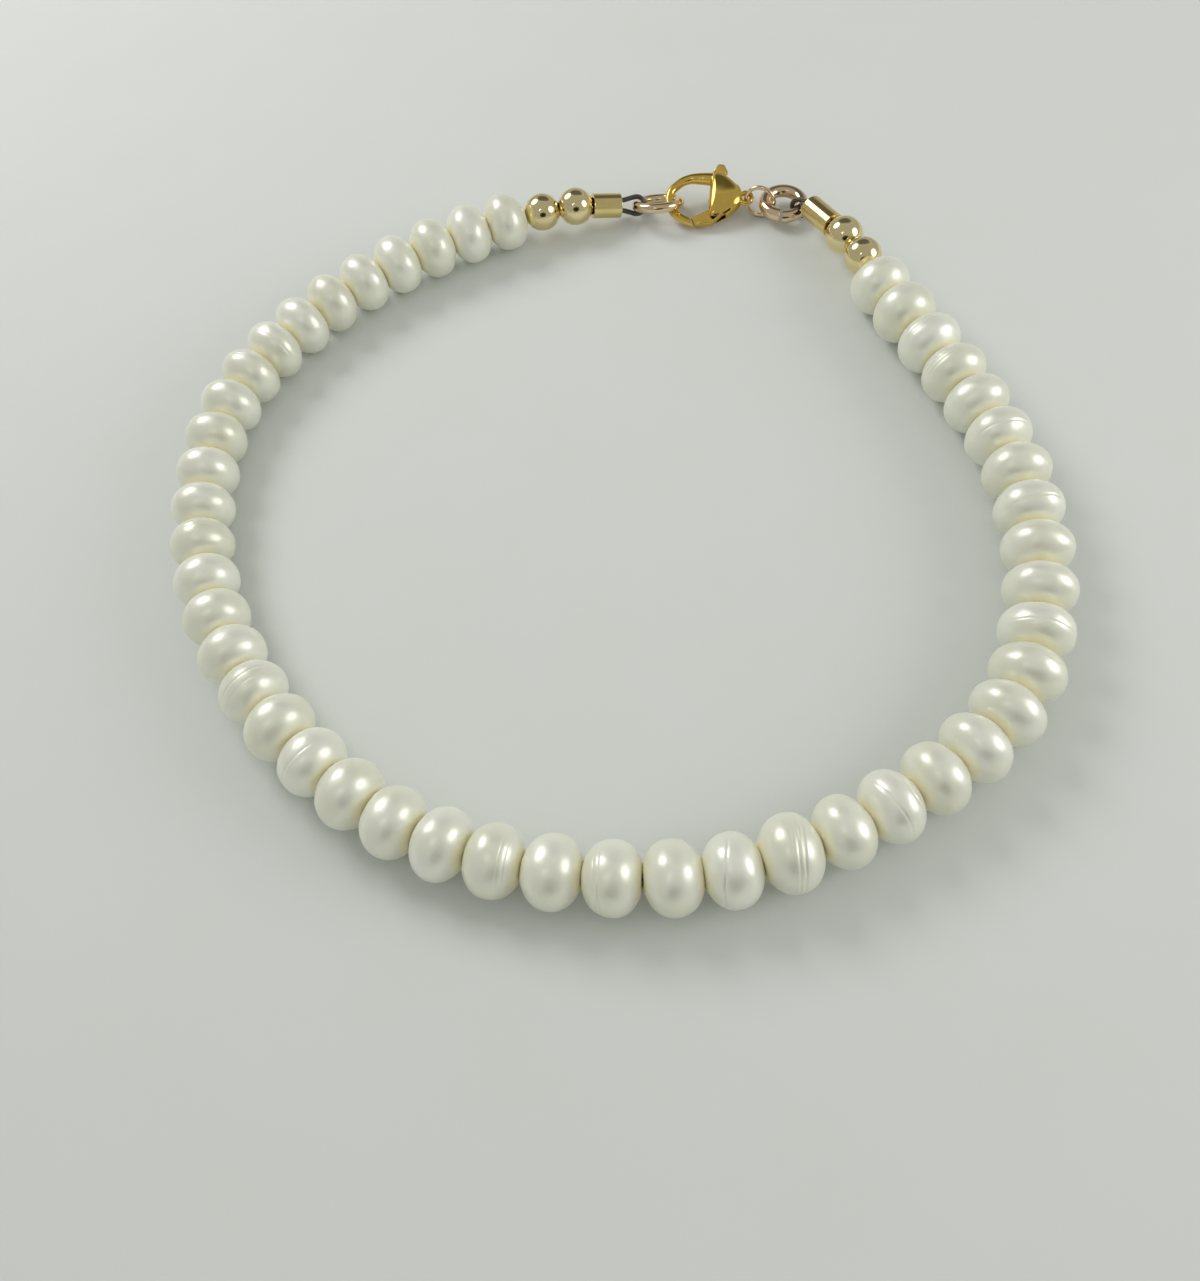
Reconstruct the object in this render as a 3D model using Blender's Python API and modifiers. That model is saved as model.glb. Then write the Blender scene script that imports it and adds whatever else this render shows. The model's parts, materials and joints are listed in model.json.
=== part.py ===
"""Pearl bracelet: a string of freshwater pearls on beading wire, closed by a gold lobster clasp.

The bracelet lies on a table as a closed loop. The table is z = 0, +X runs to the right and +Y away
from the wearer's side of the table, and the origin is on the table below the middle of the loop.
Sizes are in metres, written as millimetres times MM.
"""

import math

import bmesh
import bpy
import numpy as np
from mathutils import Matrix, Vector

MM = 0.001
# The clasp's joins and cuts are made at this many times its size, where 32-bit numbers are fine enough
ENLARGED = 1000.0

# Pearls: oblate, drilled through their short way
PEARL_COUNT = 46
PEARL_DIAMETER = 4.70 * MM
PEARL_LENGTH = 3.27 * MM
PEARL_GAP = 0.10 * MM
PEARL_FULLNESS = 2.25
ROUND_FULLNESS = 2.00
DRILL_DIAMETER = 0.80 * MM
BEAD_SIDES = 12
BEAD_BANDS = 5
BEAD_BELT = math.radians(34)

# Gold beads, two at each end of the string
GOLD_BEAD_DIAMETER = 3.00 * MM
GOLD_BEAD_GAP = 0.08 * MM
GOLD_DRILL_DIAMETER = 1.20 * MM
LEFT_END_SLACK = 0.20 * MM
RIGHT_END_SLACK = 0.50 * MM
GOLD_BEAD_HEIGHT = 2.35 * MM

# Crimp tubes, which hold the turned-back ends of the wire
TUBE_DIAMETER = 2.00 * MM
TUBE_BORE = 1.40 * MM
LEFT_TUBE_LENGTH = 2.40 * MM
RIGHT_TUBE_LENGTH = 3.10 * MM
LEFT_MOUTH_HEIGHT = 1.50 * MM
LEFT_TUBE_HEADING = math.radians(183)
RIGHT_TUBE_HEADING = math.radians(-69)

# Beading wire
WIRE_DIAMETER = 0.45 * MM
WIRE_CLEARANCE = 0.10 * MM
LEFT_LOOP_REACH = 1.40 * MM
LEFT_LOOP_HEADING = math.radians(178)
RIGHT_LOOP_REACH = 1.35 * MM
RIGHT_LOOP_LIFT = 0.95 * MM
TURNED_BACK_SHARE = 0.42
LOOP_STEPS = 6

# Rings: radii are those of the middle of the ring's wire
LINK_GAP = 0.14 * MM
CLOSED_RING_RADIUS = 1.85 * MM
CLOSED_RING_WIRE = 0.80 * MM
CLOSED_RING_HEADING = math.radians(172)
CLOSED_RING_TILT = math.radians(27)
CLOSED_RING_SLIDE = -0.62 * MM
JUMP_RING_RADIUS = 1.56 * MM
JUMP_RING_WIRE = 0.93 * MM
JUMP_RING_CUT = math.radians(8)
JUMP_RING_CUT_HEADING = math.radians(250)
JUMP_RING_STEP = 0.16 * MM
JUMP_RING_HEADING = math.radians(-12)
JUMP_RING_LOOP_HEADING = math.radians(-38)
TAIL_RING_RADIUS = 1.20 * MM
TAIL_RING_WIRE = 0.34 * MM
TAIL_RING_HEADING = math.radians(-28)
TAIL_RING_TILT = math.radians(78)
RING_SIDES = 16
RING_WIRE_SIDES = 6

# Lobster clasp. Its own axes: +x towards the hook, +y towards the thumb nub, +z through its thickness
CLASP_PLACE = (13.98 * MM, 28.72 * MM)
CLASP_HEADING = math.radians(162.5)
CLASP_TILT = math.radians(20)
HOOK_REACH = 3.04 * MM
HOOK_TOP = 1.66 * MM
HOOK_TIP = (1.02 * MM, -2.40 * MM)
HOOK_WIRE = 0.74 * MM
HOOK_STEPS = 2
BODY_THICKNESS = 2.00 * MM
BODY_SETBACK = 0.25 * MM
BODY_LENGTH = 2.85 * MM
BODY_TOP = 2.20 * MM
BODY_BOTTOM = 2.34 * MM
NECK_WIDTH = 1.16 * MM
EYE_SET = 0.28 * MM
EYE_RADIUS = 0.48 * MM
EYE_WIRE = 0.40 * MM
EYE_SIDES = 12
PIN_PLACE = (-1.35 * MM, -0.80 * MM)
PIN_DIAMETER = 0.55 * MM
PIN_CLEARANCE = 0.20 * MM
PIN_SINK = 0.15 * MM
LEVER_THICKNESS = 0.60 * MM
LEVER_SIDE_GAP = 0.25 * MM
LEVER_CLEARANCE = 0.20 * MM
LEVER_RANGE = math.radians(20)
HUB_DIAMETER = 1.65 * MM
GATE_THICKNESS = 0.62 * MM
GATE_GAP = 0.15 * MM
GATE_SLANT = 0.40 * MM
TIP_OVERRUN = (0.45 * MM, 0.10 * MM)
ARM_WIDTH = 0.80 * MM
NUB_SHIFT = 0.30 * MM
NUB_REACH = 2.92 * MM
NUB_BASE = 1.30 * MM
NUB_TOP = 0.45 * MM

# Levels of the clasp body's domed faces: share of its outline, share of its half thickness
CUSHION_LEVELS = (
    (1.00, 0.34),
    (0.92, 0.68),
    (0.74, 0.93),
    (0.45, 1.00),
)
# Upper edge of the clasp body from its front to its neck: share of its length, share of its top
BODY_UPPER_EDGE = (
    (0.000, 0.98),
    (0.200, 1.00),
    (0.470, 0.88),
    (0.750, 0.59),
)
# Lower edge from the neck to the front: share of its length, share of its bottom
BODY_LOWER_EDGE = (
    (0.820, 0.50),
    (0.490, 0.83),
    (0.220, 1.00),
    (0.000, 0.95),
)
# Hook from its root to its furthest point: share of its reach, share of its top, share of its wire
HOOK_RISE = (
    (-0.18, 0.98, 1.50),
    (0.18, 1.00, 1.32),
    (0.52, 0.94, 1.08),
    (0.83, 0.58, 1.00),
    (1.00, 0.05, 1.00),
)
# Hook from there to its tip: share of its reach, share of the tip's depth, share of its wire
HOOK_RETURN = (
    (0.900, 0.53, 0.98),
    (0.640, 0.83, 0.96),
)
HOOK_TIP_SHARE = 0.92
# Lever and slot, as shares of the hub's radius, of the body's top and of the tip's depth
GATE_ROOT = (1.15, -0.62)
GATE_HEEL = (0.75, 0.93)
ARM_ROOT = 0.95
NUB_NECK = 0.97
NUB_SHOULDER = 1.02
SLOT_STEP = 0.25
SLOT_BACK = (0.20, 0.70)
SLOT_HEEL = 0.30
# Turns of the corners round the lever's hub and round the slot's, in degrees
HUB_FRONT_TURNS = (-10, 25)
HUB_BACK_TURNS = (155, 190, 225, 258)
SLOT_TURNS = (165, 190, 215, 240)
# Pearl sizes along the string, as shares of the named pearl: number, across, along
PEARL_SIZES = (
    (1, 0.985, 0.98),
    (3, 1.010, 0.98),
    (9, 0.985, 0.92),
    (11, 0.970, 1.00),
    (14, 0.960, 0.98),
    (18, 0.985, 1.04),
    (21, 0.995, 1.05),
    (23, 0.985, 1.02),
    (25, 0.980, 1.07),
    (27, 0.975, 1.05),
    (30, 0.970, 0.98),
    (34, 1.030, 0.94),
    (38, 1.000, 0.97),
    (43, 1.010, 0.98),
    (45, 1.020, 1.07),
    (46, 0.980, 1.02),
)
# Pearls that stand out from their neighbours: number, across, along, turn in plan
ODD_PEARLS = (
    (8, 1.015, 0.93, math.radians(-3)),
    (19, 1.020, 1.04, math.radians(3)),
    (23, 0.985, 1.01, math.radians(-3)),
    (29, 1.030, 1.06, math.radians(-3)),
    (33, 1.000, 0.94, math.radians(3)),
)

# The route is fitted to the beads' length in this many passes, with this many steps between its points
ROUTE_PASSES = 12
ROUTE_STEPS = 24
# Route of the string on the table, from the outer gold bead by the left tube, round to the one by the right
STRING_ROUTE = [
    (3.04, 29.65), (-2.84, 29.34), (-12.40, 26.33), (-20.57, 21.20), (-26.55, 13.65), (-28.62, 3.70),
    (-27.42, -6.35), (-23.08, -15.91), (-15.95, -24.05), (-6.49, -28.95), (3.90, -30.60), (14.00, -28.20),
    (22.30, -23.40), (26.94, -15.28), (28.53, -5.72), (27.20, 3.80), (24.51, 14.03), (24.10, 17.50),
    (23.30, 20.35),
]

COLLECTION = "pearl_bracelet"
CUTTERS = "cutters"


def empty_scene():
    """Remove what a new file holds and make the two collections."""
    for item in list(bpy.data.objects):
        bpy.data.objects.remove(item, do_unlink=True)
    for name in (COLLECTION, CUTTERS):
        bpy.context.scene.collection.children.link(bpy.data.collections.new(name))


def make_material(name, colour, roughness, metallic):
    """A Principled material of one colour."""
    material = bpy.data.materials.new(name)
    material.use_nodes = True
    shader = material.node_tree.nodes["Principled BSDF"]
    shader.inputs["Base Color"].default_value = (*colour, 1.0)
    shader.inputs["Roughness"].default_value = roughness
    shader.inputs["Metallic"].default_value = metallic
    material.diffuse_color = (*colour, 1.0)
    return material


def add_mesh(name, mesh, material, collection=COLLECTION):
    """Link a mesh as a named object with one material."""
    item = bpy.data.objects.new(name, mesh)
    mesh.materials.append(material)
    bpy.data.collections[collection].objects.link(item)
    return item


def shade_round(item, angle=math.radians(40)):
    """Smooth shading that keeps edges sharper than the angle."""
    item.data.shade_smooth()
    item.data.set_sharp_from_angle(angle=angle)


def direction(heading, rise=0.0):
    """Unit vector at a heading in plan, raised by an angle."""
    return Vector((math.cos(heading) * math.cos(rise), math.sin(heading) * math.cos(rise), math.sin(rise)))


def smooth_curve(points, steps):
    """Points along a Catmull-Rom curve through the given points."""
    pts = [Vector(p) for p in points]
    pts = [pts[0] * 2 - pts[1]] + pts + [pts[-1] * 2 - pts[-2]]
    curve = []
    for a, b, c, d in zip(pts, pts[1:], pts[2:], pts[3:]):
        for k in range(steps):
            t = k / steps
            curve.append(0.5 * ((2 * b) + (c - a) * t + (2 * a - 5 * b + 4 * c - d) * t ** 2
                                + (3 * b - a - 3 * c + d) * t ** 3))
    curve.append(pts[-2])
    return curve


def add_tube_curve(name, points, diameter, material, radii=None, collection=COLLECTION):
    """A round wire along points, as a curve with filled caps."""
    data = bpy.data.curves.new(name, "CURVE")
    data.dimensions = "3D"
    data.bevel_depth = diameter / 2
    data.bevel_resolution = 2
    data.use_fill_caps = True
    spline = data.splines.new("POLY")
    spline.points.add(len(points) - 1)
    for k, point in enumerate(points):
        spline.points[k].co = (*point, 1.0)
        spline.points[k].radius = radii[k] if radii else 1.0
    spline.use_smooth = True
    data.materials.append(material)
    item = bpy.data.objects.new(name, data)
    bpy.data.collections[collection].objects.link(item)
    return item


def curve_to_mesh(item):
    """Turn a curve object into a mesh object whose caps are welded."""
    graph = bpy.context.evaluated_depsgraph_get()
    mesh = bpy.data.meshes.new_from_object(item.evaluated_get(graph))
    sheet = bmesh.new()
    sheet.from_mesh(mesh)
    bmesh.ops.remove_doubles(sheet, verts=sheet.verts, dist=0.001 * MM)
    bmesh.ops.recalc_face_normals(sheet, faces=sheet.faces)
    sheet.to_mesh(mesh)
    sheet.free()
    solid = bpy.data.objects.new(item.name + "_solid", mesh)
    solid.matrix_world = item.matrix_world.copy()
    for collection in item.users_collection:
        collection.objects.link(solid)
    name = item.name
    bpy.data.objects.remove(item, do_unlink=True)
    solid.name = name
    return solid


def add_plate(name, outline, thickness, material, hole=None, collection=COLLECTION):
    """A flat piece of a given outline, its middle plane at z = 0, perhaps with one round hole."""
    data = bpy.data.curves.new(name, "CURVE")
    data.dimensions = "2D"
    data.fill_mode = "BOTH"
    data.extrude = thickness / 2
    rings = [outline]
    if hole:
        (x, y), radius = hole
        turns = [math.tau * k / BEAD_SIDES for k in range(BEAD_SIDES)]
        rings.append([(x + radius * math.cos(t), y + radius * math.sin(t)) for t in turns])
    for ring in rings:
        spline = data.splines.new("POLY")
        spline.points.add(len(ring) - 1)
        for k, (x, y) in enumerate(ring):
            spline.points[k].co = (x, y, 0.0, 1.0)
        spline.use_cyclic_u = True
    data.materials.append(material)
    item = bpy.data.objects.new(name, data)
    bpy.data.collections[collection].objects.link(item)
    return curve_to_mesh(item)


def add_boolean(item, other, operation):
    """Join or cut an object with another, which becomes a hidden helper."""
    modifier = item.modifiers.new(operation.lower(), "BOOLEAN")
    modifier.object = other
    modifier.operation = operation
    modifier.solver = "EXACT"
    other.hide_render = True
    other.display_type = "WIRE"


def place_along(item, centre, axis):
    """Turn an object whose own axis is Z so that it lies along an axis, one flat side down."""
    along = Vector(axis).normalized()
    side = Vector((0, 0, 1)).cross(along).normalized()
    up = along.cross(side)
    turn = Matrix((side, up, along)).transposed()
    half_side = Matrix.Rotation(math.pi / BEAD_SIDES, 3, "Z")
    item.matrix_world = Matrix.Translation(centre) @ (turn @ half_side).to_4x4()


def bead_profile(radius, half_length, hole_radius, fullness):
    """Half section of a drilled bead, closed, from the top edge of its drill hole down its outer side."""
    def outer(t):
        return (radius * abs(math.cos(t)) ** (2 / fullness),
                math.copysign(half_length * abs(math.sin(t)) ** (2 / fullness), math.sin(t)))

    mouth = math.acos(min(0.95, (hole_radius / radius) ** (fullness / 2)))
    side_bands = (BEAD_BANDS - 1) // 2
    upper = [mouth + (BEAD_BELT / 2 - mouth) * k / side_bands for k in range(side_bands)]
    points = [(hole_radius, outer(mouth)[1])] + [outer(t) for t in upper[1:]]
    belt = half_length * math.sin(BEAD_BELT / 2) ** (2 / fullness)
    points.append((radius, belt))
    return points + [(r, -z) for r, z in reversed(points)]


def add_turned_bead(name, diameter, length, hole, fullness, material):
    """A drilled bead turned from its half section with a Screw modifier; its flats are at the full radius."""
    sheet = bmesh.new()
    outset = 1 / math.cos(math.pi / BEAD_SIDES)
    profile = bead_profile(diameter / 2, length / 2, hole / 2, fullness)
    corners = [sheet.verts.new((r * outset, 0.0, z)) for r, z in profile]
    for a, b in zip(corners, corners[1:] + corners[:1]):
        sheet.edges.new((a, b))
    mesh = bpy.data.meshes.new(name)
    sheet.to_mesh(mesh)
    sheet.free()
    item = add_mesh(name, mesh, material)
    screw = item.modifiers.new("turned", "SCREW")
    screw.axis = "Z"
    screw.steps = BEAD_SIDES
    screw.render_steps = BEAD_SIDES
    screw.use_merge_vertices = True
    screw.merge_threshold = 0.002 * MM
    screw.use_smooth_shade = True
    return item


def add_ring(name, radius, wire, material, centre, turn):
    """A closed ring of round wire."""
    bpy.ops.mesh.primitive_torus_add(major_radius=radius, minor_radius=wire / 2,
                                     major_segments=RING_SIDES, minor_segments=RING_WIRE_SIDES)
    item = bpy.context.object
    item.name = name
    item.data.name = name
    item.data.materials.append(material)
    for collection in item.users_collection:
        collection.objects.unlink(item)
    bpy.data.collections[COLLECTION].objects.link(item)
    item.matrix_world = Matrix.Translation(centre) @ turn.to_4x4()
    shade_round(item)
    return item


def ring_turn(heading, tilt):
    """Turn of a ring: its own X lies at the heading, its own Y points to the left of it, tilted up."""
    return Matrix.Rotation(heading, 3, "Z") @ Matrix.Rotation(tilt, 3, "X")


def eye_reach():
    """Distance from the clasp's middle to the middle of its tail eye, which stands off the body's neck."""
    return BODY_SETBACK + BODY_LENGTH + EYE_SET


class Clasp:
    """The lobster clasp: its body with hook, pin and tail eye, and its sprung lever."""

    def __init__(self, gold):
        self.gold = gold
        self.turn = Matrix.Rotation(CLASP_HEADING, 3, "Z") @ Matrix.Rotation(-CLASP_TILT, 3, "X")
        self.turn = self.turn @ Matrix.Rotation(math.pi, 3, "X")
        self.centre = Vector((*CLASP_PLACE, 0.0))

    def at(self, x, y, z=0.0):
        """A point of the clasp's own axes, in the bracelet's."""
        return self.centre + self.turn @ Vector((x, y, z))

    def body_outline(self):
        """Outline of the body, from the root of the hook round by the tail."""
        front = -BODY_SETBACK
        tail = front - BODY_LENGTH
        upper = [(front - BODY_LENGTH * along, BODY_TOP * up) for along, up in BODY_UPPER_EDGE]
        lower = [(front - BODY_LENGTH * along, -BODY_BOTTOM * down) for along, down in BODY_LOWER_EDGE]
        return upper + [(tail, NECK_WIDTH / 2), (tail, -NECK_WIDTH / 2)] + lower

    def add_cushion(self, name, outline):
        """The body before it is slotted: levels of its outline, narrower towards both domed faces."""
        middle_x = sum(x for x, _ in outline) / len(outline)
        half = BODY_THICKNESS / 2
        domed = [(share, level * half) for share, level in CUSHION_LEVELS]
        levels = [(share, -z) for share, z in reversed(domed)] + domed
        sheet = bmesh.new()
        rings = []
        for share, z in levels:
            rings.append([sheet.verts.new((middle_x + (x - middle_x) * share, y * share, z))
                          for x, y in outline])
        for low, high in zip(rings, rings[1:]):
            for k in range(len(outline)):
                n = (k + 1) % len(outline)
                sheet.faces.new((low[k], low[n], high[n], high[k]))
        sheet.faces.new(rings[0])
        sheet.faces.new(rings[-1])
        bmesh.ops.recalc_face_normals(sheet, faces=sheet.faces)
        mesh = bpy.data.meshes.new(name)
        sheet.to_mesh(mesh)
        sheet.free()
        return add_mesh(name, mesh, self.gold)

    def hook_line(self):
        """Middle line of the hook and its thickness as shares of the hook wire, from its root past its tip."""
        tip_x, tip_y = HOOK_TIP
        stations = [(HOOK_REACH * along, HOOK_TOP * up, share) for along, up, share in HOOK_RISE]
        stations += [(HOOK_REACH * along, tip_y * down, share) for along, down, share in HOOK_RETURN]
        over_x, over_y = TIP_OVERRUN
        stations.append((tip_x, tip_y, HOOK_TIP_SHARE))
        stations.append((tip_x - over_x, tip_y - over_y, HOOK_TIP_SHARE))
        points = smooth_curve([(x, y, share * MM) for x, y, share in stations], HOOK_STEPS)
        return [Vector((p.x, p.y, 0.0)) for p in points], [p.z / MM for p in points]

    def hub_corners(self, radius, turns):
        """Corners round the lever's pin at a radius, at turns in degrees."""
        pin_x, pin_y = PIN_PLACE
        angles = [math.radians(turn) for turn in turns]
        return [(pin_x + radius * math.cos(a), pin_y + radius * math.sin(a)) for a in angles]

    def lever_outline(self):
        """Outline of the lever with its gate closed: gate arm, hub and thumb nub."""
        pin_x, pin_y = PIN_PLACE
        hub = HUB_DIAMETER / 2
        tip_x, tip_y = HOOK_TIP
        gate = GATE_THICKNESS / 2
        gate_end = tip_x - GATE_GAP
        arm = ARM_WIDTH / 2
        nub = NUB_BASE / 2
        nub_x = pin_x + NUB_SHIFT
        root_along, root_up = GATE_ROOT
        heel_along, heel_down = GATE_HEEL
        outline = [(gate_end - GATE_SLANT / 2, tip_y - gate), (gate_end + GATE_SLANT / 2, tip_y + gate),
                   (pin_x + hub * root_along, pin_y + hub * root_up)]
        outline += self.hub_corners(hub, HUB_FRONT_TURNS)
        outline += [(pin_x + arm, pin_y + hub * ARM_ROOT), (nub_x + arm, BODY_TOP * NUB_NECK),
                    (nub_x + nub, BODY_TOP * NUB_SHOULDER), (nub_x + NUB_TOP / 2, NUB_REACH),
                    (nub_x - NUB_TOP / 2, NUB_REACH), (nub_x - nub, BODY_TOP * NUB_SHOULDER),
                    (nub_x - arm, BODY_TOP * NUB_NECK), (pin_x - arm, pin_y + hub * ARM_ROOT)]
        outline += self.hub_corners(hub, HUB_BACK_TURNS)
        outline.append((pin_x + hub * heel_along, tip_y * heel_down - gate))
        return outline

    def slot_outline(self):
        """Outline of the slot: all that the lever sweeps, with its clearance."""
        pin_x, pin_y = PIN_PLACE
        hub = HUB_DIAMETER / 2 + LEVER_CLEARANCE
        arm = ARM_WIDTH / 2 + LEVER_CLEARANCE
        tip_x, tip_y = HOOK_TIP
        low = tip_y - GATE_THICKNESS
        face_x, face_y = tip_x + GATE_SLANT / 2, tip_y + GATE_THICKNESS / 2
        low_x = face_x - GATE_SLANT * (face_y - low) / GATE_THICKNESS
        high = NUB_REACH + NUB_BASE
        step = pin_y + hub * SLOT_STEP
        front = pin_x + NUB_SHIFT + arm
        back_along, back_up = SLOT_BACK
        swing = (high - pin_y) * math.tan(LEVER_RANGE)
        corners = [(low_x, low), (face_x, face_y), (face_x, step), (front, step), (front, high),
                   (pin_x - arm - swing, high), (pin_x - arm - hub * back_along, pin_y + hub * back_up)]
        corners += self.hub_corners(hub, SLOT_TURNS)
        corners.append((pin_x - hub * SLOT_HEEL, low))
        return corners

    def build_body(self):
        """Body, hook, pin and tail eye as one piece of metal, slotted for the lever."""
        body = self.add_cushion("clasp_body", self.body_outline())
        points, shares = self.hook_line()
        hook = curve_to_mesh(add_tube_curve("hook_helper", points, HOOK_WIRE, self.gold, radii=shares,
                                            collection=CUTTERS))
        bpy.ops.mesh.primitive_torus_add(major_radius=EYE_RADIUS, minor_radius=EYE_WIRE / 2,
                                         major_segments=EYE_SIDES, minor_segments=RING_WIRE_SIDES)
        eye = self.as_helper(bpy.context.object, "eye_helper", (-eye_reach(), 0.0))
        slot_thickness = LEVER_THICKNESS + 2 * LEVER_SIDE_GAP
        slot = add_plate("slot_cutter", self.slot_outline(), slot_thickness, self.gold, collection=CUTTERS)
        bpy.ops.mesh.primitive_cylinder_add(vertices=BEAD_SIDES, radius=PIN_DIAMETER / 2,
                                            depth=BODY_THICKNESS - PIN_SINK * 2)
        pin = self.as_helper(bpy.context.object, "pin_helper", PIN_PLACE)
        for item in (body, hook, eye, slot, pin):
            item.data.transform(Matrix.Scale(ENLARGED, 4))
        add_boolean(body, hook, "UNION")
        add_boolean(body, eye, "UNION")
        add_boolean(body, slot, "DIFFERENCE")
        add_boolean(body, pin, "UNION")
        return self.applied(body)

    def as_helper(self, item, name, place):
        """Name a shape that was just added, put it at its place and move it to the helpers."""
        item.name = name
        item.data.transform(Matrix.Translation((*place, 0.0)))
        for collection in item.users_collection:
            collection.objects.unlink(item)
        bpy.data.collections[CUTTERS].objects.link(item)
        item.data.materials.append(self.gold)
        return item

    def applied(self, item):
        """The object with its modifiers applied and back at its real size."""
        bpy.context.view_layer.update()
        graph = bpy.context.evaluated_depsgraph_get()
        mesh = bpy.data.meshes.new_from_object(item.evaluated_get(graph))
        item.modifiers.clear()
        mesh.transform(Matrix.Scale(1 / ENLARGED, 4))
        item.data = mesh
        shade_round(item, math.radians(35))
        return item

    def build_lever(self):
        """The sprung lever with its hole for the pin."""
        hole = (PIN_PLACE, PIN_DIAMETER / 2 + PIN_CLEARANCE)
        lever = add_plate("clasp_lever", self.lever_outline(), LEVER_THICKNESS, self.gold, hole=hole)
        shade_round(lever)
        return lever

    def build(self):
        """Build both pieces, lay the clasp on the table and hang the lever on its axis."""
        body = self.build_body()
        lever = self.build_lever()
        lowest = min((self.turn @ vertex.co).z for vertex in body.data.vertices)
        self.centre.z = -lowest
        body.matrix_world = Matrix.Translation(self.centre) @ self.turn.to_4x4()
        axis = bpy.data.objects.new("lever_axis", None)
        bpy.data.collections[COLLECTION].objects.link(axis)
        pin = Vector((*PIN_PLACE, 0.0))
        axis.matrix_world = Matrix.Translation(self.centre + self.turn @ pin) @ self.turn.to_4x4()
        bpy.context.view_layer.update()
        lever.data.transform(Matrix.Translation(-pin))
        lever.parent = axis
        return body, lever, axis


def drilled_length():
    """Length of a gold bead between the rims of its drill hole."""
    return 2 * math.sqrt((GOLD_BEAD_DIAMETER / 2) ** 2 - (GOLD_DRILL_DIAMETER / 2) ** 2)


def bead_row():
    """The beads in order along the string: name, diameter, length, turn in plan."""
    numbers = [row[0] for row in PEARL_SIZES]
    across = [row[1] for row in PEARL_SIZES]
    along = [row[2] for row in PEARL_SIZES]
    odd = {row[0]: row[1:] for row in ODD_PEARLS}
    pearls = []
    for number in range(1, PEARL_COUNT + 1):
        share = (float(np.interp(number, numbers, across)), float(np.interp(number, numbers, along)), 0.0)
        wide, long, turn = odd.get(number, share)
        pearls.append(("pearl_%02d" % number, PEARL_DIAMETER * wide, PEARL_LENGTH * long, turn))
    gold = [("gold_bead_%d" % k, GOLD_BEAD_DIAMETER, drilled_length(), 0.0) for k in (1, 2, 3, 4)]
    return gold[:2] + pearls + gold[:1:-1]


def is_pearl(name):
    """Whether a bead of the string is a pearl, by its name."""
    return name.startswith("pearl")


def gap_between(name, other):
    """Gap between two neighbouring beads of the string."""
    if is_pearl(name) and is_pearl(other):
        return PEARL_GAP
    if is_pearl(other):
        return LEFT_END_SLACK
    if is_pearl(name):
        return RIGHT_END_SLACK
    return GOLD_BEAD_GAP


def bead_distances(row):
    """Distance of each bead's middle along the string from the first one's."""
    distances = [0.0]
    for (name, _, length, _), (other, _, other_length, _) in zip(row, row[1:]):
        step = (length + other_length) / 2 + gap_between(name, other)
        distances.append(distances[-1] + step)
    return distances


def laid_route(start, end, length):
    """The chosen route, scaled and eased so that it runs between two points at the string's length."""
    chosen = [Vector((x * MM, y * MM, 0.0)) for x, y in STRING_ROUTE]
    steps = [0.0]
    for a, b in zip(chosen, chosen[1:]):
        steps.append(steps[-1] + (b - a).length)
    scale = 1.0
    for _ in range(ROUTE_PASSES):
        first, last = start - chosen[0] * scale, end - chosen[-1] * scale
        points = [p * scale + first.lerp(last, s / steps[-1]) for p, s in zip(chosen, steps)]
        curve = np.array([tuple(p) for p in smooth_curve(points, ROUTE_STEPS)])
        run = np.concatenate([[0.0], np.cumsum(np.linalg.norm(np.diff(curve, axis=0), axis=1))])
        scale *= length / run[-1]
    return curve, run * (length / run[-1])


def add_string(materials, start, end, left_axis, right_axis):
    """Place the beads along the route and return their middles; the end beads lean towards the tubes."""
    row = bead_row()
    distances = bead_distances(row)
    curve, run = laid_route(start, end, distances[-1])

    def at(distance):
        return Vector([float(np.interp(distance, run, curve[:, k])) for k in range(3)])

    middles = []
    ease = PEARL_LENGTH / 2
    for (name, diameter, length, turn), distance in zip(row, distances):
        pearl = is_pearl(name)
        fullness = PEARL_FULLNESS if pearl else ROUND_FULLNESS
        material = materials["pearl"] if pearl else materials["gold"]
        hole = DRILL_DIAMETER if pearl else GOLD_DRILL_DIAMETER
        full_length = length if pearl else diameter
        item = add_turned_bead(name, diameter, full_length, hole, fullness, material)
        along = at(distance + ease) - at(distance - ease)
        along.rotate(Matrix.Rotation(turn, 3, "Z"))
        along.normalize()
        if name == row[0][0]:
            along += left_axis
        if name == row[-1][0]:
            along -= right_axis
        middle = at(distance)
        middle.z = diameter / 2 if pearl else GOLD_BEAD_HEIGHT
        place_along(item, middle, along)
        middles.append(middle)
    return middles


def bead_step(tube_length):
    """Distance from a tube's mouth to the middle of the gold bead at its other end."""
    return tube_length + drilled_length() / 2 + GOLD_BEAD_GAP


def tube_axis(heading, mouth, length):
    """Direction of a tube that rises from its mouth to the height of the gold beads."""
    return direction(heading, math.asin((GOLD_BEAD_HEIGHT - mouth.z) / bead_step(length)))


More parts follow.
